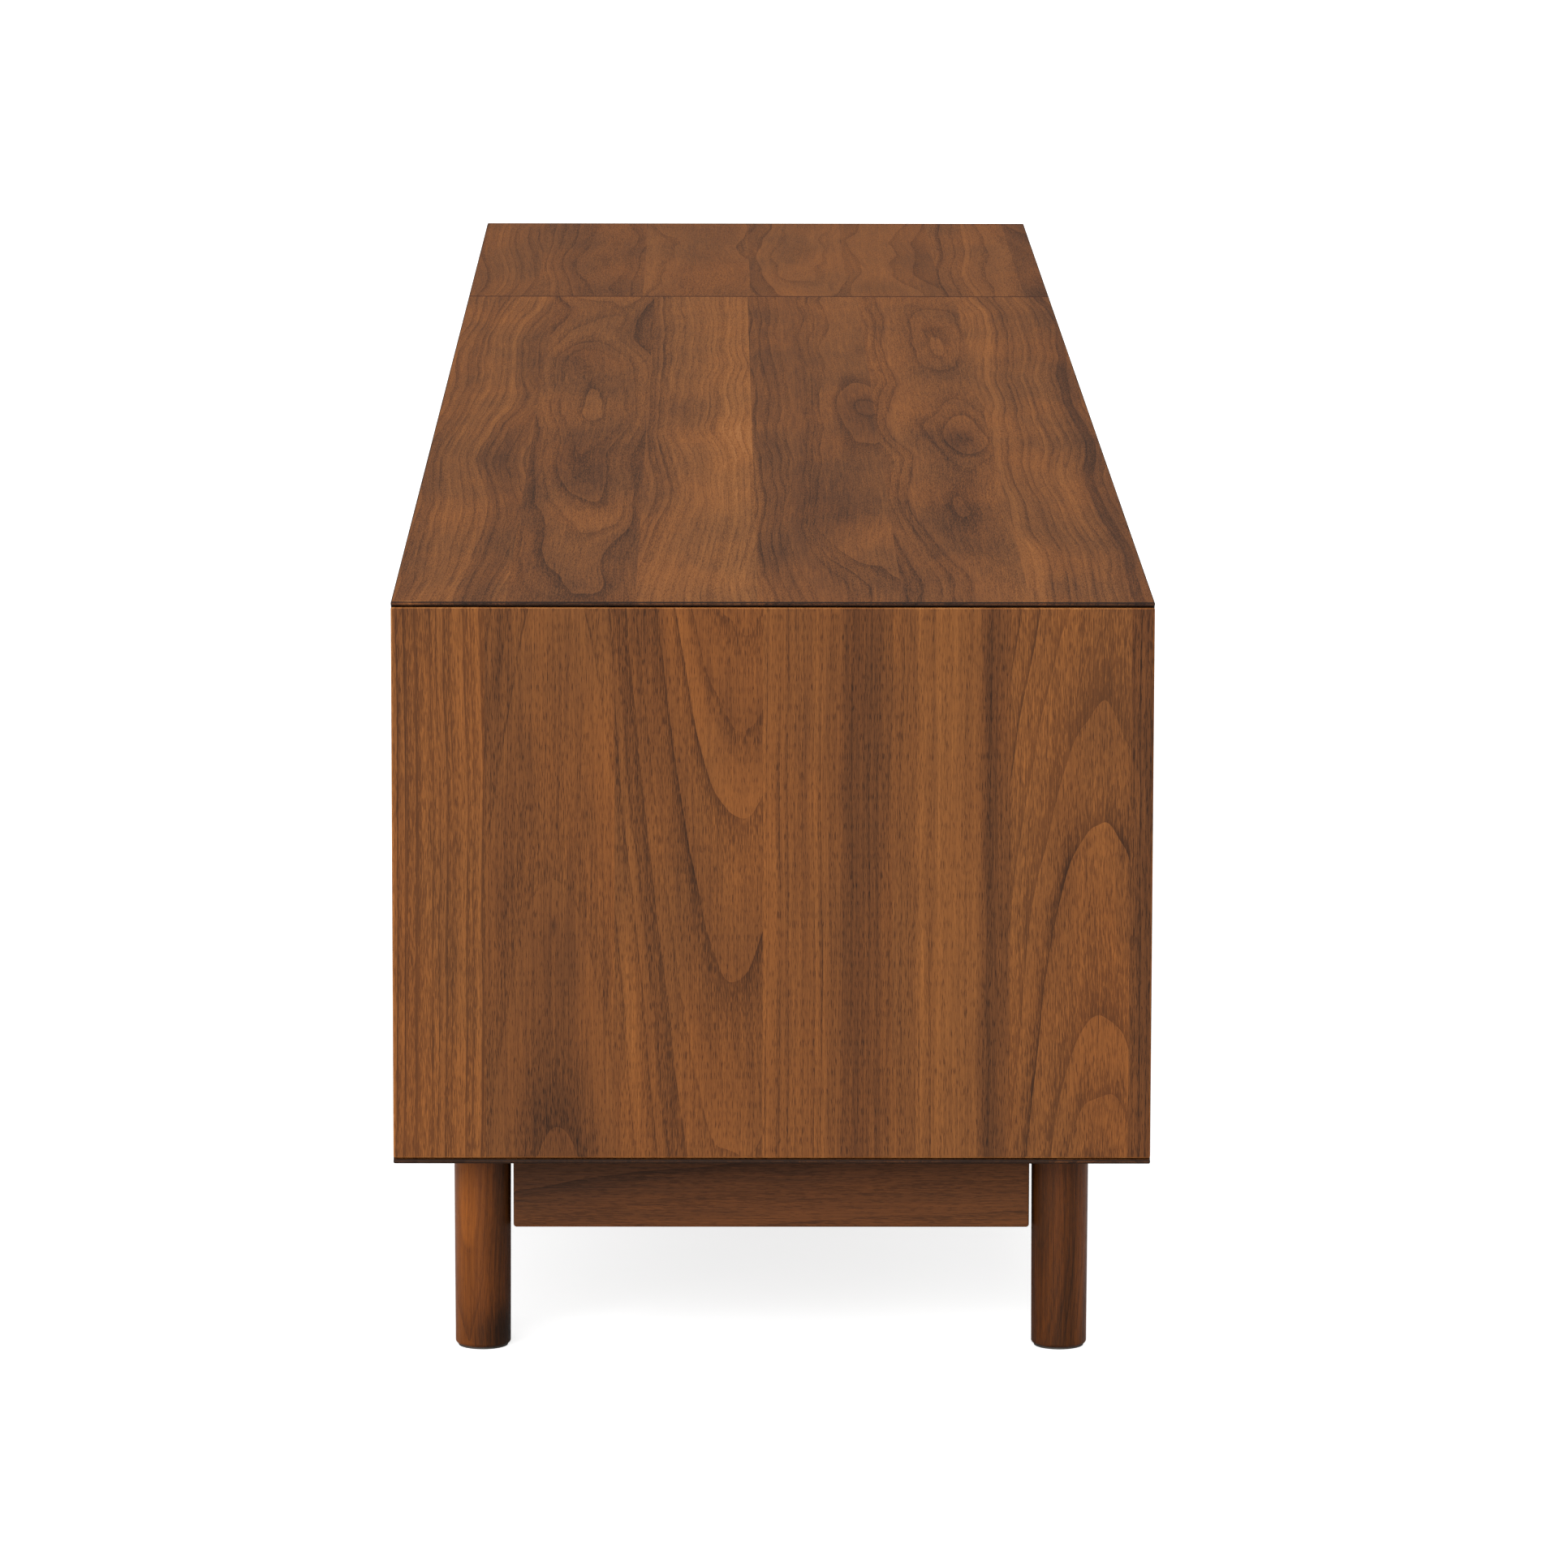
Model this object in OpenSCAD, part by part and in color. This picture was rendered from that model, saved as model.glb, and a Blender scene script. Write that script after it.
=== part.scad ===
// Low media cabinet: a long mitred walnut case on four round legs.
// Two pivot-hung doors flank a centre bay with an open cubby above two drawers.
// X runs along the length, -Y is the front, Z is up and the floor is z = 0.

/* [Case] */
// Overall length of the case
body_l = 2000; // [1700:10:2200]
// Overall depth of the case
body_d = 400; // [380:5:440]
// Height of the case without its legs
body_h = 300; // [290:5:340]
// Thickness of the case boards
board_t = 18; // [17:1:19]
// Distance from the left end to the joint between the two top boards
seam_from_left = 509; // [450:1:540]
// Open gap between the two top boards
seam_gap = 0.6; // [0.2:0.1:1]
// Thickness of the nose that the top and bottom boards show at the mitres
nose_t = 2.4; // [1.5:0.1:4]
// Height of the shadow gap between that nose and the end panel
quirk_h = 0.6; // [0.3:0.1:1.5]

/* [Legs and aprons] */
// Height of the case above the floor
leg_h = 108; // [90:1:140]
// Leg diameter at the case
leg_top_d = 30.3; // [28:0.1:34]
// Leg diameter at the floor
leg_foot_d = 29.5; // [28:0.1:32]
// Distance of a leg's centre from both faces of its corner
leg_inset = 46; // [40:1:60]
// Height of the aprons under the case
apron_h = 42; // [36:1:55]
// Thickness of the aprons
apron_t = 18; // [16:1:20]
// Gap between an apron's end and the leg beside it
apron_gap = 1.4; // [0.5:0.1:5]

/* [Fronts] */
// Thickness of doors and drawer fronts
front_t = 18; // [17:1:20]
// Gap around the fronts inside the case
reveal = 1.5; // [1:0.1:2]
// Gap between two neighbouring fronts
front_gap = 2; // [1.5:0.1:3]
// Distance of the pivot axis from the door's hinge edge
pivot_edge = 24; // [22:1:30]
// Distance of the pivot axis behind the door's face
pivot_behind = 6; // [5:0.5:7]
// Height of the clear space for the drawers
drawer_bay_h = 130; // [125:1:140]
// Distance of the cubby shelf behind the front face, for fingers
cubby_setback = 38; // [36:1:50]

/* [Drawers] */
// Thickness of the drawer box sides
drawer_t = 12; // [10:1:14]
// Height of the drawer boxes
drawer_h = 90; // [80:1:96]
// Room that a slide takes beside a drawer box
slide_w = 13; // [13:0.1:14]
// Length of the slides
slide_l = 330; // [300:5:330]

/* [Hidden] */
$fn = 48;

// Case outline
x_out = body_l / 2;
x_in = x_out - board_t;
y_front = -body_d / 2;
y_back = body_d / 2;
z_bay = leg_h + board_t;
z_top = leg_h + body_h;
z_roof = z_top - board_t;

// Partitions stand under the board joint and at its mirror place
part_x = x_out - seam_from_left;
part_in = part_x - board_t / 2;
part_out = part_x + board_t / 2;
part_front = y_front + front_t + 2;

// Thin backs sit in rabbets
back_t = 6;
rabbet = 8;
y_rabbet = y_back - 10;
back_gap = 1;

// Centre bay
z_shelf = z_bay + drawer_bay_h;
shelf_top = z_shelf + board_t;
shelf_front = y_front + cubby_setback;
notch_depth = 22;
notch_h = 60;
notch_z = (shelf_top + z_roof) / 2;

// Fronts
y_front_back = y_front + front_t;
door_x0 = x_in - reveal;
door_x1 = part_in + 1;
door_z0 = z_bay + reveal;
door_z1 = z_roof - reveal;
pivot_x = door_x0 - pivot_edge;
pivot_y = y_front + pivot_behind;
pivot_r = 2.5;
pivot_play = 0.05;
bush_r = 4;
bush_h = 9;
pin_in_door = 12;
front_x0 = front_gap / 2;
front_x1 = door_x1 - front_gap;
front_z1 = z_shelf + 6;

// Drawer boxes, given for the right-hand drawer
box_x0 = board_t / 2 + slide_w;
box_x1 = part_in - slide_w;
box_z0 = z_bay + 14;
box_z1 = box_z0 + drawer_h;
box_y0 = y_front_back;
box_y1 = box_y0 + 340;
groove = 6;
drawer_base_t = 6;
drawer_base_z = box_z0 + 10;

// Slides: three channels inside one another
slide_z = box_z0 + drawer_h / 2;
slide_y0 = y_front_back + 4;
rail_t = 1.2;
rail_play = 0.4;
rail_h = 45;

// Adjustable shelves
shelf_z = leg_h + 133;
shelf_y0 = y_front + 50;
shelf_y1 = y_back - 20;
peg_r = 2.5;
peg_z = shelf_z - peg_r;
peg_rows = [-2:2];
peg_pitch = 32;
peg_ys = [y_front + 90, y_back - 60];
peg_depth = 8;

// Legs and base
leg_x = x_out - leg_inset;
leg_y = y_back - leg_inset;
glide_h = 1;
foot_ease = 1.2;
glide_r = leg_foot_d / 2 - foot_ease - 0.3;
glide_pin_r = 1.5;
glide_pin_h = 10;
bolt_r = 4;
insert_r = 6;
insert_h = 14;
bolt_in_leg = 30;
apron_z = leg_h - apron_h;
apron_half_y = leg_y - leg_top_d / 2 - apron_gap;
apron_half_x = leg_x - leg_top_d / 2 - apron_gap;
apron_screw_r = 2;
apron_head_r = 4;
apron_head_z = apron_z + 14;
short_screw_ys = [-90, 90];
long_screw_xs = [for (i = [-2:2]) i * (apron_half_x - 180) / 2];

// Cable ports in the backs
port_r = 25;
port_hole_r = 30;
port_flange_r = 34;
port_flange_t = 2.5;
port_side_z = leg_h + 75;
port_side_x = (x_in + part_out) / 2;

// Small hardware
dowel_r = 3;
dowel_ys = [-140, 0, 140];
shelf_dowel_ys = [-70, 20, 90];
divider_dowel_ys = [-120, 40];
screw_r = 1.5;
screw_head_r = 2.9;
screw_head_t = 1.5;
spline_t = 3;
spline_w = 12;
catch_w = 12;
catch_h = 24;
catch_z = shelf_z + 9;

walnut = [0.47, 0.31, 0.20];
walnut_end = [0.51, 0.32, 0.18];
walnut_leg = [0.42, 0.24, 0.15];
walnut_dark = [0.37, 0.24, 0.16];
birch = [0.80, 0.68, 0.50];
steel = [0.62, 0.63, 0.65];
black = [0.10, 0.10, 0.11];

// A box between two opposite corners
module block(a, b) {
    translate(a) cube(b - a);
}

// Everything on the left is the mirror image of the right
module side(s) {
    mirror([s < 0 ? 1 : 0, 0, 0]) children();
}

// Extrude an XZ outline from one y to another
module along_y(y0, y1) {
    translate([0, y1, 0]) rotate([90, 0, 0]) linear_extrude(y1 - y0) children();
}

module rod_x(x0, x1, y, z, r) {
    translate([x0, y, z]) rotate([0, 90, 0]) cylinder(h = x1 - x0, r = r);
}

module rod_y(x, y0, y1, z, r) {
    translate([x, y1, z]) rotate([90, 0, 0]) cylinder(h = y1 - y0, r = r);
}

module rod_z(x, y, z0, z1, r) {
    translate([x, y, z0]) cylinder(h = z1 - z0, r = r);
}

// Case fittings that are also cut out of the boards

module dowels_vertical(x, ys, z) {
    for (y = ys) rod_z(x, y, z - 10, z + 10, dowel_r);
}

// The joint over the left partition needs a row of dowels for each top board
module dowels_roof() {
    dowels_vertical(part_x, dowel_ys, z_roof);
    dowels_vertical(-part_x + 4.8, dowel_ys, z_roof);
    dowels_vertical(-part_x - 4.8, [for (y = dowel_ys) y + 30], z_roof);
}

module dowels_base() {
    for (s = [-1, 1]) dowels_vertical(s * part_x, dowel_ys, z_bay);
    dowels_vertical(0, divider_dowel_ys, z_bay);
}

module dowels_shelf() {
    dowels_vertical(0, divider_dowel_ys, z_shelf);
    for (s = [-1, 1]) side(s)
        for (y = shelf_dowel_ys)
            rod_x(part_in - 10, part_in + 10, y, z_shelf + board_t / 2, dowel_r);
}

// A tongue across each mitre, near its inner corner
module spline(zs) {
    z = zs > 0 ? z_roof + 6 : z_bay - 6;
    translate([x_in + 6, 0, z]) rotate([0, zs * 45, 0])
        cube([spline_w, body_d - 60, spline_t], center = true);
}

module splines() {
    for (s = [-1, 1]) side(s) for (zs = [-1, 1]) spline(zs);
}

module roof_bush_seats() {
    for (s = [-1, 1]) side(s) rod_z(pivot_x, pivot_y, z_roof, z_roof + bush_h, bush_r);
}

module floor_bush_seats() {
    for (s = [-1, 1]) side(s) rod_z(pivot_x, pivot_y, z_bay - bush_h, z_bay, bush_r);
}

module insert_seats() {
    for (x = [-leg_x, leg_x]) for (y = [-leg_y, leg_y])
        rod_z(x, y, leg_h, leg_h + insert_h, insert_r);
}

// Screw shanks that hold the aprons, from the head up into the board
module apron_shanks() {
    for (x = [-leg_x, leg_x]) for (y = short_screw_ys)
        rod_z(x, y, apron_head_z, leg_h + 12, apron_screw_r);
    for (x = long_screw_xs) for (y = [-leg_y, leg_y])
        rod_z(x, y, apron_head_z, leg_h + 12, apron_screw_r);
}

// Rows of peg holes in one face that looks along +X (dir 1) or -X (dir -1)
module peg_holes(x, dir) {
    for (y = peg_ys) for (k = peg_rows)
        rod_x(min(x, x - dir * peg_depth), max(x, x - dir * peg_depth), y,
            peg_z + k * peg_pitch, peg_r);
}

// Places of the back panel screws: [x, z]
function screw_column(x) = [for (i = [0:2]) [x, z_bay + 22 + i * (z_roof - z_bay - 44) / 2]];
function screw_row(x0, x1, n, z) = [for (i = [1:n]) [x0 + i * (x1 - x0) / (n + 1), z]];
side_screws = concat(
    screw_column(x_in + rabbet / 2), screw_column(part_x + 4.6),
    screw_row(part_x, x_in, 2, z_roof + rabbet / 2), screw_row(part_x, x_in, 2, z_bay - rabbet / 2)
);
centre_screws = concat(
    screw_column(part_x - 4.6), screw_column(-part_x + 4.6),
    screw_row(-part_x, part_x, 4, z_roof + rabbet / 2),
    screw_row(-part_x, part_x, 4, z_bay - rabbet / 2)
);

module back_screw(p) {
    rod_y(p[0], y_rabbet - 12, y_rabbet + back_t - screw_head_t, p[1], screw_r);
    rod_y(p[0], y_rabbet + back_t - screw_head_t, y_rabbet + back_t, p[1], screw_head_r);
}

module back_screws() {
    for (s = [-1, 1]) side(s) for (p = side_screws) back_screw(p);
    for (p = centre_screws) back_screw(p);
}

// Case boards

// Outline of a long board from x0 to x1; a mitred end has the nose and the shoulder
module board_outline(x0, x1, mitre0, mitre1) {
    lip = x_out - nose_t;
    left = mitre0 ? [[-x_in, 0], [-lip, board_t - nose_t], [-x_out, board_t - nose_t],
        [-x_out, board_t]] : [[x0, 0], [x0, board_t]];
    right = mitre1 ? [[x_out, board_t], [x_out, board_t - nose_t], [lip, board_t - nose_t],
        [x_in, 0]] : [[x1, board_t], [x1, 0]];
    polygon(concat(left, right));
}

module back_rabbets() {
    block([-x_in - rabbet, y_rabbet, z_bay - rabbet], [x_in + rabbet, y_back + 1, z_roof + rabbet]);
}

module top_panel(x0, x1, mitre0, mitre1) {
    color(walnut) difference() {
        translate([0, 0, z_roof]) along_y(y_front, y_back) board_outline(x0, x1, mitre0, mitre1);
        back_rabbets();
        splines();
        dowels_roof();
        roof_bush_seats();
        back_screws();
    }
}

module top_panel_main() {
    top_panel(-part_x + seam_gap / 2, x_out, false, true);
}

module top_panel_short() {
    top_panel(-x_out, -part_x - seam_gap / 2, true, false);
}

module bottom_panel() {
    color(walnut) difference() {
        translate([0, 0, z_bay]) mirror([0, 0, 1])
            along_y(y_front, y_back) board_outline(-x_out, x_out, true, true);
        back_rabbets();
        splines();
        dowels_base();
        floor_bush_seats();
        insert_seats();
        apron_shanks();
        back_screws();
    }
}

module end_panel(s) {
    shoulder = nose_t + quirk_h;
    color(walnut_end) side(s) difference() {
        along_y(y_front, y_back) polygon([
            [x_in, z_bay], [x_out - shoulder, leg_h + shoulder], [x_out, leg_h + shoulder],
            [x_out, z_top - shoulder], [x_out - shoulder, z_top - shoulder], [x_in, z_roof]
        ]);
        back_rabbets();
        splines();
        peg_holes(x_in, -1);
        back_screws();
    }
}

// The front edge has a notch for a finger behind the door's free edge
module partition(s) {
    color(walnut) difference() {
        side(s) difference() {
            block([part_in, part_front, z_bay], [part_out, y_rabbet, z_roof]);
            block([part_in - 1, part_front - 1, notch_z - notch_h / 2],
                [part_out + 1, part_front + notch_depth, notch_z + notch_h / 2]);
            peg_holes(part_out, 1);
        }
        dowels_base();
        dowels_roof();
        dowels_shelf();
        back_screws();
    }
}

module cubby_shelf() {
    color(walnut) difference() {
        block([-part_in, shelf_front, z_shelf], [part_in, y_rabbet, shelf_top]);
        dowels_shelf();
    }
}

module drawer_divider() {
    color(walnut) difference() {
        block([-board_t / 2, part_front, z_bay], [board_t / 2, y_rabbet, z_shelf]);
        dowels_base();
        dowels_shelf();
    }
}

module back_panel(x0, x1, port_x, port_z) {
    color(walnut_dark) difference() {
        block([x0, y_rabbet, z_bay - rabbet + back_gap / 2],
            [x1, y_rabbet + back_t, z_roof + rabbet - back_gap / 2]);
        rod_y(port_x, y_rabbet - 1, y_rabbet + back_t + 1, port_z, port_hole_r);
        back_screws();
    }
}

module back_panel_side(s) {
    side(s) back_panel(part_x + back_gap / 2, x_in + rabbet - back_gap / 2, port_side_x, port_side_z);
}

module back_panel_centre() {
    back_panel(-part_x + back_gap / 2, part_x - back_gap / 2, 0, notch_z);
}

module back_panel_screws() {
    color(steel) back_screws();
}

module grommet(x, z) {
    difference() {
        union() {
            rod_y(x, y_rabbet - 6, y_rabbet + back_t, z, port_hole_r);
            rod_y(x, y_rabbet + back_t, y_rabbet + back_t + port_flange_t, z, port_flange_r);
        }
        rod_y(x, y_rabbet - 7, y_back + 1, z, port_r);
    }
}

module cable_grommets() {
    color(black) {
        for (s = [-1, 1]) grommet(s * port_side_x, port_side_z);
        grommet(0, notch_z);
    }
}

module mitre_splines() {
    color(birch) splines();
}

module case_dowels() {
    color(birch) {
        dowels_roof();
        dowels_base();
        dowels_shelf();
    }
}

module adjustable_shelf(s) {
    color(walnut) side(s)
        block([part_out + 1, shelf_y0, shelf_z], [x_in - 1, shelf_y1, shelf_z + board_t]);
}

module shelf_pins() {
    color(steel) for (s = [-1, 1]) side(s) for (y = peg_ys) {
        rod_x(part_out - peg_depth, part_out + 9, y, peg_z, peg_r);
        rod_x(x_in - 9, x_in + peg_depth, y, peg_z, peg_r);
    }
}

// Base

module leg(sx, sy) {
    foot_r = leg_foot_d / 2;
    color(walnut_leg) translate([sx * leg_x, sy * leg_y, 0]) difference() {
        rotate_extrude() polygon([
            [0, glide_h], [foot_r - foot_ease, glide_h], [foot_r, glide_h + foot_ease],
            [leg_top_d / 2, leg_h], [0, leg_h]
        ]);
        rod_z(0, 0, leg_h - bolt_in_leg, leg_h + 1, bolt_r);
        rod_z(0, 0, 0, glide_h + glide_pin_h, glide_pin_r);
    }
}

module each_leg() {
    for (x = [-leg_x, leg_x]) for (y = [-leg_y, leg_y]) translate([x, y, 0]) children();
}

module leg_bolts() {
    color(steel) each_leg() rod_z(0, 0, leg_h - bolt_in_leg, leg_h + insert_h, bolt_r);
}

module leg_threaded_inserts() {
    color(steel) difference() {
        insert_seats();
        each_leg() rod_z(0, 0, leg_h - 1, leg_h + insert_h + 1, bolt_r);
    }
}

module leg_glides() {
    color(black) each_leg() {
        rod_z(0, 0, 0, glide_h, glide_r);
        rod_z(0, 0, glide_h, glide_h + glide_pin_h, glide_pin_r);
    }
}

module apron_bar(a, b) {
    color(walnut_dark) difference() {
        block(a, b);
        apron_shanks();
        for (x = [-leg_x, leg_x]) for (y = short_screw_ys)
            rod_z(x, y, apron_z - 1, apron_head_z, apron_head_r);
        for (x = long_screw_xs) for (y = [-leg_y, leg_y])
            rod_z(x, y, apron_z - 1, apron_head_z, apron_head_r);
    }
}

module apron_short(s) {
    apron_bar([s * leg_x - apron_t / 2, -apron_half_y, apron_z],
        [s * leg_x + apron_t / 2, apron_half_y, leg_h]);
}

module apron_long(s) {
    apron_bar([-apron_half_x, s * leg_y - apron_t / 2, apron_z],
        [apron_half_x, s * leg_y + apron_t / 2, leg_h]);
}

module apron_screws() {
    color(steel) {
        apron_shanks();
        for (x = [-leg_x, leg_x]) for (y = short_screw_ys)
            rod_z(x, y, apron_head_z - 2, apron_head_z, apron_head_r);
        for (x = long_screw_xs) for (y = [-leg_y, leg_y])
            rod_z(x, y, apron_head_z - 2, apron_head_z, apron_head_r);
    }
}

// Door hardware on the case

module pivot_bushes() {
    color(steel) difference() {
        union() {
            roof_bush_seats();
            floor_bush_seats();
        }
        for (s = [-1, 1]) side(s)
            rod_z(pivot_x, pivot_y, z_bay - bush_h - 1, z_roof + bush_h + 1, pivot_r + pivot_play);
    }
}

module magnetic_catches() {
    color(black) for (s = [-1, 1]) side(s)
        block([part_out, y_front_back + 1.2, catch_z - catch_h / 2],
            [part_out + catch_w, y_front_back + 22, catch_z + catch_h / 2]);
}

// Doors

module door_pin_holes(r) {
    rod_z(pivot_x, pivot_y, door_z0, door_z0 + pin_in_door, r);
    rod_z(pivot_x, pivot_y, door_z1 - pin_in_door, door_z1, r);
}

// The back of the free edge is bevelled for the finger
module door(s) {
    bevel = 8;
    color(walnut) side(s) difference() {
        translate([0, 0, door_z0]) linear_extrude(door_z1 - door_z0) polygon([
            [door_x0, y_front], [door_x0, y_front_back], [door_x1 + bevel, y_front_back],
            [door_x1, y_front_back - bevel], [door_x1, y_front]
        ]);
        door_pin_holes(pivot_r);
    }
}

// Two pins, each with a collar in the gap beside the case
module door_pivots(s) {
    collar = 0.1;
    pin_z0 = z_bay - bush_h + 1;
    pin_z1 = z_roof + bush_h - 1;
    color(steel) side(s) {
        rod_z(pivot_x, pivot_y, pin_z0, door_z0 + pin_in_door, pivot_r);
        rod_z(pivot_x, pivot_y, door_z1 - pin_in_door, pin_z1, pivot_r);
        difference() {
            union() {
                rod_z(pivot_x, pivot_y, z_bay + collar, door_z0, bush_r - 0.5);
                rod_z(pivot_x, pivot_y, door_z1, z_roof - collar, bush_r - 0.5);
            }
            rod_z(pivot_x, pivot_y, z_bay, z_roof, pivot_r);
        }
    }
}

module door_strike_plate(s) {
    color(steel) side(s)
        block([part_out, y_front_back, catch_z - catch_h / 2 + 2],
            [part_out + catch_w, y_front_back + 1, catch_z + catch_h / 2 - 2]);
}

module door_bumpers(s) {
    color(black) side(s) for (z = [door_z0 + 20, door_z1 - 20])
        rod_y(part_x + 4.5, y_front_back, y_front_back + 1.8, z, 3.5);
}

// Drawers, each drawn on the right and mirrored for the left

module screw_places_drawer() {
    for (x = [box_x0 + 60, box_x1 - 60]) for (z = [box_z0 + 28, box_z1 - 18])
        translate([x, 0, z]) children();
}

module drawer_shanks() {
    screw_places_drawer() rod_y(0, box_y0 - 10, box_y0 + drawer_t, 0, 2);
}

// The top of the front is bevelled behind, so that fingers reach over it
module drawer_front(s) {
    color(walnut) side(s) difference() {
        translate([front_x0, 0, 0]) rotate([90, 0, 90]) linear_extrude(front_x1 - front_x0) polygon([
            [y_front, door_z0], [y_front_back, door_z0], [y_front_back, front_z1 - 12],
            [y_front_back - 10, front_z1], [y_front, front_z1]
        ]);
        drawer_shanks();
    }
}

module drawer_base() {
    block([box_x0 + drawer_t - groove, box_y0 + drawer_t - groove, drawer_base_z],
        [box_x1 - drawer_t + groove, box_y1 - drawer_t + groove, drawer_base_z + drawer_base_t]);
}

module drawer_box_front(s) {
    color(birch) side(s) difference() {
        block([box_x0 + drawer_t, box_y0, box_z0], [box_x1 - drawer_t, box_y0 + drawer_t, box_z1]);
        drawer_base();
        drawer_shanks();
    }
}

module drawer_back(s) {
    color(birch) side(s) difference() {
        block([box_x0 + drawer_t, box_y1 - drawer_t, box_z0], [box_x1 - drawer_t, box_y1, box_z1]);
        drawer_base();
    }
}

module drawer_side(s, x0) {
    color(birch) side(s) difference() {
        block([x0, box_y0, box_z0], [x0 + drawer_t, box_y1, box_z1]);
        drawer_base();
    }
}

module drawer_bottom(s) {
    color(birch) side(s) drawer_base();
}

module drawer_screws(s) {
    color(steel) side(s) {
        drawer_shanks();
        screw_places_drawer() rod_y(0, box_y0 + drawer_t, box_y0 + drawer_t + 2, 0, 4);
    }
}

// One channel of a slide: its back at a, its open edge at b, half its height h
module channel(a, b, h) {
    dir = b > a ? 1 : -1;
    difference() {
        block([min(a, b), slide_y0, slide_z - h], [max(a, b), slide_y0 + slide_l, slide_z + h]);
        block([min(a + dir * rail_t, b + dir), slide_y0 - 1, slide_z - h + rail_t],
            [max(a + dir * rail_t, b + dir), slide_y0 + slide_l + 1, slide_z + h - rail_t]);
    }
}

// A wall at x with the drawer on its dir side carries a cabinet, a middle and a drawer channel
module slide_cabinet(x, dir) {
    channel(x, x + dir * 11, rail_h / 2);
}

module slide_middle(x, dir) {
    channel(x + dir * (rail_t + rail_play), x + dir * 11, rail_h / 2 - rail_t - rail_play);
}

module slide_drawer(x, dir) {
    channel(x + dir * slide_w, x + dir * (2 * rail_t + 2 * rail_play),
        rail_h / 2 - 2 * (rail_t + rail_play));
}

module drawer_cabinet_rails() {
    color(steel) for (s = [-1, 1]) side(s) {
        slide_cabinet(board_t / 2, 1);
        slide_cabinet(part_in, -1);
    }
}

module drawer_middle_rails(s) {
    color(steel) side(s) {
        slide_middle(board_t / 2, 1);
        slide_middle(part_in, -1);
    }
}

module drawer_rails(s) {
    color(steel) side(s) {
        slide_drawer(board_t / 2, 1);
        slide_drawer(part_in, -1);
    }
}

top_panel_main();
top_panel_short();
end_panel(-1);  // end_panel_left
end_panel(1);  // end_panel_right
bottom_panel();
partition(-1);  // partition_left
partition(1);  // partition_right
cubby_shelf();
drawer_divider();
back_panel_side(-1);  // back_panel_left
back_panel_centre();
back_panel_side(1);  // back_panel_right
back_panel_screws();
cable_grommets();
mitre_splines();
case_dowels();
adjustable_shelf(-1);  // adjustable_shelf_left
adjustable_shelf(1);  // adjustable_shelf_right
shelf_pins();
leg(-1, -1);  // leg_front_left
leg(1, -1);  // leg_front_right
leg(-1, 1);  // leg_back_left
leg(1, 1);  // leg_back_right
leg_bolts();
leg_threaded_inserts();
leg_glides();
apron_short(-1);  // apron_left
apron_short(1);  // apron_right
apron_long(-1);  // apron_front
apron_long(1);  // apron_back
apron_screws();
pivot_bushes();
magnetic_catches();
drawer_cabinet_rails();
door(-1);  // door_left
door_pivots(-1);  // door_left_pivots
door_strike_plate(-1);  // door_left_strike_plate
door_bumpers(-1);  // door_left_bumpers
door(1);  // door_right
door_pivots(1);  // door_right_pivots
door_strike_plate(1);  // door_right_strike_plate
door_bumpers(1);  // door_right_bumpers
drawer_front(-1);  // drawer_left_front
drawer_box_front(-1);  // drawer_left_box_front
drawer_side(-1, box_x1 - drawer_t);  // drawer_left_outer_side
drawer_side(-1, box_x0);  // drawer_left_inner_side
drawer_back(-1);  // drawer_left_back
drawer_bottom(-1);  // drawer_left_bottom
drawer_screws(-1);  // drawer_left_screws
drawer_rails(-1);  // drawer_left_rails
drawer_middle_rails(-1);  // drawer_left_middle_rails
drawer_front(1);  // drawer_right_front
drawer_box_front(1);  // drawer_right_box_front
drawer_side(1, box_x1 - drawer_t);  // drawer_right_outer_side
drawer_side(1, box_x0);  // drawer_right_inner_side
drawer_back(1);  // drawer_right_back
drawer_bottom(1);  // drawer_right_bottom
drawer_screws(1);  // drawer_right_screws
drawer_rails(1);  // drawer_right_rails
drawer_middle_rails(1);  // drawer_right_middle_rails
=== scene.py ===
"""Looks of the low walnut media cabinet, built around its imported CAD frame. All lengths are metres."""
import math
import random

import bmesh
import bpy
from mathutils import Matrix, Vector


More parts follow.
